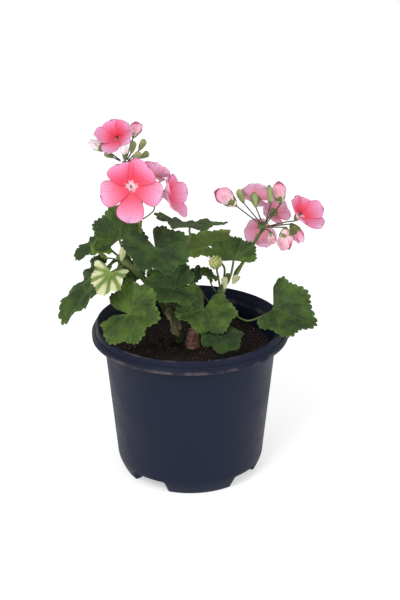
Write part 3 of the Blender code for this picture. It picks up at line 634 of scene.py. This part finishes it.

# Growth of each leaf: degrees of heading, slope and roll of its midrib, reach in mm, width, half
# opening in degrees, folds of the two halves in degrees, a colour multiplier that holds the leaf's own
# tone and painted shade (darker on leaves behind and under others), and the folds' wave height in mm.
leaf_growth = {
    "leaf_upper_left": (112, 57, -4, 27, 0.8, 120, -8, 6, "#d9e6d6", 1.9),
    "leaf_far_left": (-147, -28, 10, 26, 0.55, 158, 8, 8, "#e6eee6", 1.5),
    "leaf_hanging_left": (-142, -43, 20, 48, 0.5, 158, 8, 8, "#e8f0dc", 2.4),
    "leaf_variegated": (-125, -45, 0, 20, 0.85, 120, 8, 8, "#ffffff", 1.5),
    "leaf_young_bright": (170, 25, -7, 10, 0.95, 158, 8, 8, "#ffffff", 1.5),
    "leaf_centre_left": (-62, -32, 0, 26, 1.05, 165, 6, 6, "#bccdd0", 1.9),
    "leaf_top": (90, -13, 5, 27, 1.1, 158, 15, 12, "#dfe9da", 1.5),
    "leaf_yellow_green": (141, -5, -12, 25, 0.95, 158, 8, 8, "#ffffff", 1.5),
    "leaf_right_upper": (84, 45, 0, 20, 1.08, 102, 14, 14, "#f0f6e0", 1.5),
    "leaf_centre": (-165, 12, -52, 25, 0.95, 158, 40, 4, "#e4efe4", 1.5),
    "leaf_front_left": (-33, 6, 56, 29, 0.95, 170, 8, 14, "#ffffe0", 2.2),
    "leaf_front_centre": (-106, -32, -24, 22, 1.2, 165, 8, 8, "#ffffe6", 1.8),
    "leaf_front_low": (-92, -20, -8, 19, 0.95, 158, 8, 8, "#b9c9bd", 1.5),
    "leaf_over_rim": (-16, -16, 45, 36, 0.78, 112, 4, 32, "#dfe9d8", 2.4),
    "leaf_small_centre": (130, 17, 10, 13, 0.5, 158, 8, 8, "#f0f4e8", 1.5),
    "leaf_behind_left": (-100, -65, 0, 18, 0.7, 158, 8, 8, "#c8d4c2", 1.5),
    "leaf_sliver": (118, 20, 4, 12, 0.95, 158, 8, 8, "#dce6d6", 1.5),
    "leaf_behind_centre": (59, 29, -18, 15, 0.95, 158, 8, 8, "#c8d4c2", 1.5),
    "leaf_dried": (-82, -45, -51, 23, 0.4, 158, 8, 8, "#ffffff", 1.5),
}
leaf_columns, leaf_rows = 230, 26


def leaf_slot(name):
    return {"leaf_variegated": "leaf_variegated", "leaf_dried": "leaf_dried",
            "leaf_yellow_green": "leaf_yellow_green",
            "leaf_young_bright": "leaf_yellow_green"}.get(name, "leaf")


def grow_leaf(name, number):
    """Builds one blade with its stalk where the CAD leaf has its hub."""
    heading, slope, roll, reach, width, half, left, right, tone_and_shade, wave = leaf_growth[name]
    pleated = name == "leaf_variegated"
    frame_turn = np.array((Matrix.Rotation(math.radians(heading), 3, "Z")
                           @ Matrix.Rotation(math.radians(-slope), 3, "Y")
                           @ Matrix.Rotation(math.radians(roll), 3, "X")))
    bm = welded(name)
    hub = np.array(max(bm.verts, key=lambda v: len(v.link_faces)).co) / MM
    bm.free()
    up = frame_turn[:, 2]
    opening = math.radians(half)
    angle = np.linspace(-opening, opening, leaf_columns)[None, :]
    share = (np.arange(leaf_rows) / (leaf_rows - 1))[:, None] ** 0.9
    edge = leaf_edge(angle, reach, width, opening)
    lobe = np.round(angle / math.tau * VEINS)
    scallop = np.abs(np.cos(angle * VEINS * 3 + 0.5 * np.sin(3 * lobe + number))) ** 0.75
    edge = edge * (1 + 0.08 * (scallop - 0.5) * np.clip((share - 0.55) / 0.45, 0, 1) ** 2)
    radius = share * edge
    across = radius * np.sin(angle)
    fold = np.radians(np.where(across > 0, left, right))
    main, side, rank = vein_field(angle, share)
    puff = 0.5 - 0.5 * np.cos(math.tau * rank)
    rng = np.random.default_rng(100 + number)
    lift = (np.abs(across) * np.sin(fold) + wave * share ** 2 * np.cos(3.5 * angle + 1.0)
            + reach * (-0.01 * main - 0.004 * side + 0.012 * puff * share)
            - 0.032 * reach * share ** 1.5 * np.cos(VEINS * angle)
            + 0.022 * reach * share ** 2 * np.cos(VEINS * 2 * angle + rng.uniform(0, 6))
            + 0.025 * reach * share ** 3 * np.cos(11 * angle + rng.uniform(0, 6))
            + 0.4 * share ** 5 * np.cos(23 * angle + rng.uniform(0, 6)))
    if pleated:
        lift = lift + 0.9 * share * np.cos(VEINS * 1.5 * angle)
    if name == "leaf_dried":
        lift = lift + 1.2 * share * np.cos(9 * angle) + 1.0 * share ** 2 * np.sin(5 * angle)
    blade = np.stack([radius * np.cos(angle), across * np.cos(fold), lift], axis=2)
    blade = blade @ frame_turn.T + hub
    skins = slab(blade, 0.42)
    stalk = stalk_rows(name, 6)
    stalk = stalk[:next((i for i, (p, r) in enumerate(stalk) if np.linalg.norm(p - hub) < 5.5
                         or r > 1.4 * stalk[0][1]), len(stalk))]
    thick = stalk[0][1]
    stalk += [(hub - up * 3.5, thick), (hub - up * 0.3, thick * 0.9)]
    skins.append(tube(stalk, 10, 1.2, slot=2, rib=0.05))
    leaf = build(name + "_blade", skins, [*leaf_kinds[leaf_slot(name)], stalk_skin])
    mesh = leaf.data
    rel = (np.array([v.co for v in mesh.vertices]) / MM - hub) @ frame_turn
    turned = np.arctan2(rel[:, 1], rel[:, 0]) / math.tau * VEINS
    mesh.attributes.new("leaf_turn", "FLOAT", "POINT").data.foreach_set("value", turned.astype(np.float32))
    # The multiplier holds the leaf's own tone and painted shade for leaves behind and under others.
    colours = np.tile(np.array(linear(tone_and_shade), np.float32), (len(mesh.vertices), 1))
    mesh.attributes.new("leaf_tone_and_shade", "FLOAT_COLOR", "POINT").data.foreach_set("color", colours.ravel())
    fit_to_frame(leaf, leaf_slot(name), name)


for number, name in enumerate(leaf_growth):
    grow_leaf(name, number)

# ---------------------------------------------------------------- open flowers
# Each floret has five thin overlapping petals on a short green throat: two upper ones standing
# together and three lower ones. They are coral at the base, streaked, paler and cooler at the tips,
# and pale on the back. Five narrow sepals and a few stamens finish the flower.


def petal_finish(name, eye, deep, middle, tip, streak):
    """Petal tissue. U runs across a petal and V from its claw to its tip."""
    finish, add, shader = new_finish(name)
    place = add("TexCoord", out="Object")
    along = add("UVMap", uv_map="UVMap")
    parts = add("SeparateXYZ", {0: along}, out=None).outputs
    patch = add("TexNoise", {"Vector": place, "Scale": 130.0, "Detail": 5.0})
    far = add("Math", {0: patch, 1: 0.22, 2: parts["Y"]}, operation="MULTIPLY_ADD")
    to_tip = add("MapRange", {"Value": far, "From Min": 0.42, "From Max": 1.06}, **SMOOTH)
    to_base = add("MapRange", {"Value": far, "From Min": 0.22, "From Max": 0.62,
                               "To Min": 1.0, "To Max": 0.0}, **SMOOTH)
    line = add("Math", {0: patch, 1: 0.16, 2: parts["X"]}, operation="MULTIPLY_ADD")
    line = add("Math", {0: line, 1: 56.5}, operation="MULTIPLY")
    line = add("Math", {0: line}, operation="SINE")
    line = add("MapRange", {"Value": line, "From Min": 0.35, "From Max": 1.0, "To Max": 0.7}, **SMOOTH)
    uneven = add("MapRange", {"Value": patch, "From Min": 0.35, "From Max": 0.65, "To Min": 0.25})
    fade = add("MapRange", {"Value": far, "From Min": 0.25, "From Max": 0.95,
                            "To Min": 1.0, "To Max": 0.3})
    for strength in (uneven, fade):
        line = add("Math", {0: line, 1: strength}, operation="MULTIPLY")
    aside = add("Math", {0: parts["X"], 1: 2.0, 2: -1.0}, operation="MULTIPLY_ADD")
    aside = add("Math", {0: aside}, operation="ABSOLUTE")
    border = add("Math", {0: aside, 1: parts["Y"]}, operation="MAXIMUM")
    border = add("MapRange", {"Value": border, "From Min": 0.92, "From Max": 1.0,
                              "To Max": 0.7}, **SMOOTH)
    white = add("MapRange", {"Value": far, "From Min": 0.17, "From Max": 0.24, "To Min": 0.8,
                             "To Max": 0.0}, **SMOOTH)
    base = linear(middle)
    for share, colour in ((to_tip, tip), (to_base, deep), (line, streak), (border, streak), (white, eye)):
        base = add("Mix", {0: share, 6: base, 7: linear(colour)}, 2, data_type="RGBA")
    cells = add("TexNoise", {"Vector": place, "Scale": 1300.0, "Detail": 2.0})
    relief = add("Math", {0: line, 1: -1.0, 2: cells}, operation="MULTIPLY_ADD")
    bump = add("Bump", {"Height": relief, "Strength": 0.35, "Distance": 0.0003})
    feed(shader, {"Base Color": base, "Normal": bump, "Roughness": 0.55, "Sheen Weight": 0.15,
                  "Subsurface Weight": 0.3, "Subsurface Radius": (0.002, 0.001, 0.001)})
    return finish


petal_face = petal_finish("coral_petal", "#fbe6ee", "#ea2f4c", "#f2567c", "#ec9fce", "#c92a55")
lower_face = petal_finish("blush_petal", "#fbe6ee", "#ee4560", "#ef789c", "#e8b0d8", "#cc3a66")
petal_back = petal_finish("petal_reverse", "#f3dfe4", "#f08ea6", "#f0a3bf", "#ecbbd9", "#cf6c92")
pale_face = petal_finish("pale_petal", "#fbeef4", "#f07a9c", "#eea0c3", "#e8bbdd", "#cf6491")
anther_red = stem_finish("anther_and_stigma", "#8a2a3e", "#5c1828", "#b04a5a")
sepal_green = stem_finish("downy_sepal", "#7d8f4e", "#55682f", "#6f4a34")


def petal_sheet(root, middle, tip, side, wide, towards, cup=0.2, wave=0.5, seed=0, twist=0.0, thick=0.32,
                slots=(0, 1), columns=15, rows=20):
    """One petal: a claw that opens to a broad rounded blade, along root, middle and tip."""
    rng = np.random.default_rng(seed)
    t = (1 - (1 - np.linspace(0, 1, rows)) ** 1.5)[:, None]
    u = np.linspace(-1, 1, columns)[None, :]
    centre = (root * (1 - t) * (1 - 2 * t) + middle * 4 * t * (1 - t) + tip * t * (2 * t - 1))
    ahead = np.gradient(centre, axis=0)
    ahead /= np.maximum(np.linalg.norm(ahead, axis=1, keepdims=True), 1e-9)
    across = side - ahead * (ahead @ side)[:, None]
    across /= np.maximum(np.linalg.norm(across, axis=1, keepdims=True), 1e-9)
    face = np.cross(ahead, across)
    face *= np.sign((face @ towards).sum())
    half = 0.5 * wide * ((t ** 1.25) * (1 - t ** 5.5)) ** 0.58 / 0.70 + 0.35 * (1 - t ** 3)
    notch = 1 - 0.05 * np.exp(-(u / 0.18) ** 2) * np.clip((t - 0.8) / 0.2, 0, 1)
    ripple = wave * t ** 2 * (np.cos(4.2 * u + rng.uniform(0, 6)) + 0.5 * np.cos(9 * u + rng.uniform(0, 6)))
    lift = cup * half * u * u + ripple + twist * u * t
    points = centre[:, None, :] + across[:, None, :] * (u * half)[..., None]
    points = points + face[:, None, :] * lift[..., None]
    points = points + (ahead[:, None, :] * ((notch - 1) * np.linalg.norm(tip - root))[..., None])
    if np.cross(ahead[5], across[5]) @ towards < 0:
        points = points[:, ::-1]
    return slab(points, thick, *slots)


def square_to(axis, hint):
    """Two unit vectors at right angles to an axis and to each other."""
    first = unit(np.cross(axis, hint))
    return first, np.cross(axis, first)


def sepals(place, axis, length, width, spread, seed, rows=8):
    """Five narrow pointed sepals round an axis, leaning out by the spread in degrees."""
    skins = []
    first, other = square_to(axis, (0.2, 0.4, 1.0))
    lean = math.radians(spread)
    for k in range(5):
        turn = math.tau * k / 5 + seed
        out = first * math.cos(turn) + other * math.sin(turn)
        tip = place + axis * length * math.cos(lean) + out * length * math.sin(lean)
        middle = (place + tip) / 2 + out * length * 0.12
        skins += petal_sheet(place + out * 0.8, middle, tip, np.cross(axis, out), width, -out, 0.25, 0.05,
                             k, 0.0, 0.3, (3, 3), 5, rows)
    return skins


def floret(name, pale, number):
    """Five petals on the lobes of the CAD flower, its throat, stalk, sepals and stamens."""
    bm = welded(name)
    hub = max(bm.verts, key=lambda v: len(v.link_faces))
    inner = [e.other_vert(hub) for e in hub.link_edges]
    lines = {v: [e.other_vert(v) for e in v.link_edges if e.other_vert(v) in inner] for v in inner}
    order = [inner[0], lines[inner[0]][0]]
    while len(order) < len(inner):
        order.append(next(v for v in lines[order[-1]] if v is not order[-2]))
    heart = np.array(hub.co) / MM
    ring = np.array([v.co for v in order]) / MM
    stalk = stalk_rows(name, 6)
    stalk = stalk[:next((i for i, (p, r) in enumerate(stalk)
                         if r > 0.8 or np.linalg.norm(p - heart) < 8.0), len(stalk))]
    spokes = ring - ring.mean(axis=0)
    axis = np.cross(spokes, np.roll(spokes, -1, axis=0)).sum(axis=0)
    axis *= np.sign(axis @ (heart - stalk[-1][0])) / np.linalg.norm(axis)
    reach = np.linalg.norm(ring - heart, axis=1)
    first = min(range(4), key=lambda k: reach[k::4].sum())
    lobes = [(first + 2 + 4 * k) % len(order) for k in range(5)]
    skins = []
    longest = max(range(5), key=lambda k: reach[lobes[k]])
    near = set(inner) | {hub}
    for k in range(5):
        lobe = lobes[(longest + k) % 5]
        middle = ring[lobe]
        linked = [e.other_vert(order[lobe]) for e in order[lobe].link_edges]
        rims = [v for v in linked if v not in near]
        tip = np.array(max(rims, key=lambda v: (v.co - hub.co).length).co) / MM
        side = unit(ring[(lobe + 1) % len(order)] - ring[(lobe - 1) % len(order)])
        length = np.linalg.norm(tip - heart)
        upper = k in (2, 3)
        sway = np.random.default_rng(900 + 10 * number + k)
        wide = length * (1.06 if upper else 0.76) * sway.uniform(0.92, 1.1)
        raise_up = axis * (0.5 if upper else 0.15 * k)
        droop, swing = axis * sway.uniform(-0.16, 0.12), side * sway.uniform(-0.09, 0.09)
        end = tip + raise_up + length * (droop + swing)
        skins += petal_sheet(heart + raise_up * 0.5, middle + raise_up, end, side, wide, axis,
                             sway.uniform(0.04, 0.3), length * sway.uniform(0.02, 0.05), 40 * number + k,
                             length * sway.uniform(-0.08, 0.08), slots=(0 if upper else 5, 1))
    bm.free()
    neck = heart - axis * 7.0
    skins.append(tube([*stalk, (neck, 0.5), (neck + axis * 1.2, 0.9), (neck + axis * 2.0, 1.25),
                       (neck + axis * 4.5, 1.35), (heart - axis * 0.5, 1.0)], 12, 1.0, slot=2))
    skins += sepals(neck + axis * 1.2, axis, 7.5, 2.3, 24, number)
    for k in range(5):
        turn = math.tau * k / 5 + number
        out = np.cross(axis, (math.cos(turn), math.sin(turn), 0.3))
        tip = heart + axis * 2.6 + out * 0.9
        skins.append(tube([(heart, 0.16), (heart + axis * 1.4 + out * 0.3, 0.16), (tip, 0.2),
                           (tip + axis * 0.7, 0.42), (tip + axis * 1.3, 0.15)], 6, 0.6, slot=4))
    upper_face, under_face = (pale_face, pale_face) if pale else (petal_face, lower_face)
    flower = build(name + "_flower", skins, [upper_face, petal_back, flower_stalk, sepal_green,
                                             anther_red, under_face])
    fit_to_frame(flower, "petal_pale" if pale else "petal", name)


florets = ("floret_a_top", "floret_b_large", "floret_b_back", "floret_b_side",
           "floret_c_back", "floret_c_lower", "floret_c_pale", "floret_c_right")
pale_florets = {"floret_b_back", "floret_c_lower", "floret_c_pale"}
for number, name in enumerate(florets):
    floret(name, name in pale_florets, number)

# ---------------------------------------------------------------- buds
# Closed buds are green teardrops wrapped by five ridged sepals. As they open, furled petals push
# out of the calyx, nearly white at first and then pink. Each hangs on its own thin stalk.


def furled(base, tip, thick, open_share, seed):
    """Five petals wrapped round an axis from base to tip, each a cupped sheet over the next."""
    way = tip - base
    axis = unit(way)
    first, other = square_to(axis, (0.3, 0.2, 1.0))
    skins = []
    for k in range(5):
        turn = math.tau * k / 5 + seed * 0.7
        out = first * math.cos(turn) + other * math.sin(turn)
        out_tip = first * math.cos(turn + 0.5) + other * math.sin(turn + 0.5)
        size = 1.0 if k % 2 else 0.88
        skins += petal_sheet(base + out * 0.4, base + way * 0.5 * size + out * thick * 0.98,
                             base + way * size + out_tip * thick * open_share, np.cross(axis, out),
                             thick * 2.1, -out, 0.42, 0.25, seed * 10 + k, 0.5, 0.3, (0, 1), 11, 14)
    return skins


def closed_body(base, tip, thick, seed, folds=3):
    """A pointed egg with shallow spiral folds from base to tip."""
    way = tip - base
    first, other = square_to(unit(way), (0.3, 0.2, 1.0))
    rings, turns = [], np.arange(30) * math.tau / 30
    for s in np.linspace(0, 1, 17):
        size = thick * (math.sin(math.pi * s ** 0.8)) ** 0.75 if 0 < s < 1 else 0.0
        fold = 1 - 0.13 * np.abs(np.sin(folds / 2 * (turns + 0.9 * s + seed)))
        rings.append(base + way * s + np.outer(size * fold * np.cos(turns), first)
                     + np.outer(size * fold * np.sin(turns), other))
    return skin(np.array(rings) * MM)


bud_green = stem_finish("bud_sepal", "#b3bb82", "#6a7c42", "#b98f74")
bud_white = petal_finish("unopened_petal", "#e6ead0", "#f3ecdc", "#f6eaea", "#f4e2e8", "#e6c3cb")
bud_pink = petal_finish("opening_petal", "#f1f1de", "#f8e0e0", "#f6c6d2", "#f0a0bc", "#dc5a80")
GREEN = ("green", 0.0)
bud_kinds = {
    "bud_a_half_open": ("pink", 0.95), "bud_a_pale": ("white", 0.5), "bud_a_white": ("white", 0.3),
    "bud_a_1": GREEN, "bud_a_2": GREEN, "bud_a_3": GREEN,
    "bud_a_4": GREEN, "bud_a_5": GREEN, "bud_c_left": ("pink", 0.75),
    "bud_c_1": GREEN, "bud_c_2": GREEN, "bud_c_top": ("pink", 0.9),
    "bud_c_slender": GREEN, "bud_c_small": ("pink", 0.4), "bud_c_hanging": ("pink", 0.8),
    "bud_c_lilac": ("lilac", 0.8),
}
bud_slots = {"green": "bud", "white": "petal_pale", "lilac": "petal_pale", "pink": "petal"}


def bud(name, number):
    """One bud with its stalk, at the swelling of the CAD bud's tube."""
    kind, opened = bud_kinds[name]
    rows = stalk_rows(name, 8, umbels[name[4]])
    swelling = rows[-5:]
    way = (swelling[-1][0] - swelling[0][0]) / 0.88
    base, tip = swelling[0][0] - 0.12 * way, swelling[-1][0]
    axis = unit(way)
    length = np.linalg.norm(way)
    thick = max(r for _, r in swelling)
    pedicel = [(p, min(r, 0.55)) for p, r in rows[:-5]]
    skins = [tube([*pedicel, (base, 0.55), (base + axis * 0.8, 0.8)], 10, 1.0, slot=2)]
    if kind == "green":
        skins.append(closed_body(base, tip - axis * 0.4, thick * 0.93, number, 5))
        skins += sepals(base, axis, length * 1.02, thick * 1.9, 2, number * 0.3, 9)
    else:
        skins.append(closed_body(base, base + way * 0.72, thick * 0.72, number))
        skins += furled(base + axis * length * 0.08, tip, thick * 0.85, opened * 0.75, number)
        skins += sepals(base - axis * 0.2, axis, length * 0.55, thick * 1.1, 26, number * 0.4)
    faces = {"green": (bud_green, bud_green), "white": (bud_white, bud_white),
             "lilac": (pale_face, petal_back), "pink": (bud_pink, bud_pink)}[kind]
    wrap = bud_green if kind == "green" else sepal_green
    piece = build(name + "_flower", skins, [*faces, flower_stalk, wrap])
    fit_to_frame(piece, bud_slots[kind], name)


for number, name in enumerate(bud_kinds):
    bud(name, number)

# ---------------------------------------------------------------- young cluster
# A flower head that hasn't opened yet: a tight ball of small pointed yellow-green buds, downy, on a
# short stalk beside the right shoot.
low, high = (np.array(corner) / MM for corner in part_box("bud_cluster"))
bm = welded("bud_cluster")
ball_points = np.array([v.co for v in bm.verts]) / MM
bm.free()
ball_r = 5.8
ball = np.array([(low[0] + high[0]) / 2, (low[1] + high[1]) / 2, high[2] - ball_r])
far_points = ball_points[np.linalg.norm(ball_points - ball, axis=1) > ball_r * 1.15]
root = far_points[np.argmax(np.linalg.norm(far_points - ball, axis=1))]
cluster_skins = [tube([(root, 0.9), ((root + ball) / 2, 0.9), (ball, 0.9)], 10, 1.0, slot=1)]
cluster_count = 44
golden_turn = 2.39996
for k in range(cluster_count):
    height = 1 - 2 * (k + 0.5) / cluster_count
    turn = k * golden_turn
    out = np.array([math.sqrt(1 - height * height) * math.cos(turn),
                    math.sqrt(1 - height * height) * math.sin(turn), height])
    cluster_skins.append(closed_body(ball + out * 2.4, ball + out * (ball_r + 0.1), 1.45, k))
cluster_green = stem_finish("young_bud_down", "#d3cf90", "#8a9a4e", "#b9a866")
cluster = build("young_bud_cluster", cluster_skins, [cluster_green, stalk_skin])
fit_to_frame(cluster, "bud", "bud_cluster")

# ---------------------------------------------------------------- stipules
# Pale papery scales at the joints of the shoots, where leaf stalks are joined. They are dry, slightly
# translucent skin flecked with brown, and each is one thin curled sheet.
stipule_paper = stem_finish("papery_stipule", "#dcdcb0", "#a9b07a", "#a98d5c", 0.7)
for name in ("stipule_left", "stipule_right_1", "stipule_right_2"):
    rows = stalk_rows(name, 6)
    if rows[0][1] < rows[-1][1]:
        rows.reverse()
    base, tip = rows[0][0], rows[-1][0]
    way = tip - base
    upright = abs(way[2]) >= 0.8 * np.linalg.norm(way)
    out = np.array((1.0, 0.0, 0.0)) if upright else np.cross(way, (0.0, 0.0, 1.0))
    facing = unit(np.cross(way, out))
    wide = max(r for _, r in rows) * 2.3
    scale = petal_sheet(base, (base + tip) / 2 + facing * 0.6, tip, unit(out), wide, facing,
                        0.3, 0.45, 5, 0.4, 0.3, (0, 0), 9, 14)
    piece = build(name + "_scale", scale, [stipule_paper])
    fit_to_frame(piece, "bract", name)

# ---------------------------------------------------------------- woody stub
# The cut base of the old stem that the shoots grow from: pinkish-brown bark, ringed and cracked,
# standing in the soil. It is one closed skin of uneven rings, and its cut top dips in the middle.
rows = stalk_rows("woody_stub", 8, np.array((0.0, 0.0, 0.0)))
line = finer(np.array([[*p, r] for p, r in rows]), 0.8)
turns = np.arange(40) * math.tau / 40
bark_rings = [np.repeat(line[:1, :3], 40, 0)]
for p in line:
    ring = np.array([noise.noise(Vector((2 * math.cos(a), 2 * math.sin(a), p[2] / 3.5))) for a in turns])
    size = p[3] * (1 + 0.09 * ring + 0.03 * math.sin(p[2] * 1.6))
    bark_rings.append(p[:3] + np.stack([size * np.cos(turns), size * np.sin(turns), 0 * turns], axis=1))
bark_rings.append(line[-1, :3] + (bark_rings[-1] - line[-1, :3]) * 0.75 + (0, 0, 0.3))
bark_rings.append(np.repeat(line[-1:, :3] + (0, 0, 0.1), 40, 0))
bark = grain_finish("old_stem_bark", "#6a4236", "#b98a7a", 0.8)
stub = build("cut_woody_stub", [skin(np.array(bark_rings) * MM)], [bark])
fit_to_frame(stub, "bark", "woody_stub")

# ---------------------------------------------------------------- studio
# A plain white floor under soft light from all round, a large soft light above and to the left, and
# a long lens looking slightly down on the plant.
floor_mesh = bpy.data.meshes.new("studio_floor")
floor_mesh.from_pydata([(-6, -6, 0), (6, -6, 0), (6, 6, 0), (-6, 6, 0)], [], [(0, 1, 2, 3)])
floor = add_object("studio_floor", floor_mesh)
floor_white, _, shader = new_finish("matt_white_floor")
feed(shader, {"Base Color": linear("#fbfbfb"), "Roughness": 0.9,
              "Emission Color": linear("#ffffff"), "Emission Strength": 0.46})
floor_mesh.materials.append(floor_white)
floor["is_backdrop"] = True

world = bpy.data.worlds.new("studio_world")
bpy.context.scene.world = world
world.use_nodes = True
feed(world.node_tree.nodes["Background"], {"Color": linear("#ffffff"), "Strength": 0.5})


def soft_light(name, place, aim, size, power):
    light = bpy.data.lights.new(name, "AREA")
    light.size = size
    light.energy = power
    lamp = add_object(name, light)
    lamp.location = place
    lamp.rotation_mode = "QUATERNION"
    lamp.rotation_quaternion = (Vector(aim) - Vector(place)).to_track_quat("-Z", "Y")


soft_light("key_light", (-0.7, -1.3, 1.5), (0, 0, 0.15), 0.9, 16.0)
soft_light("fill_light", (1.1, -1.0, 0.9), (0, 0, 0.15), 1.0, 6.0)

lens = bpy.data.cameras.new("studio_camera")
lens.lens = 86.25
lens.sensor_width = 36.0
lens.clip_start, lens.clip_end = 0.05, 20.0
camera = add_object("studio_camera", lens)
camera.location = (0.008, -1.0473, 0.6021)
camera.rotation_euler = (math.radians(66.437), 0.0, 0.0)
bpy.context.scene.camera = camera
bpy.context.scene.view_settings.view_transform = "Standard"

low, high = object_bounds()
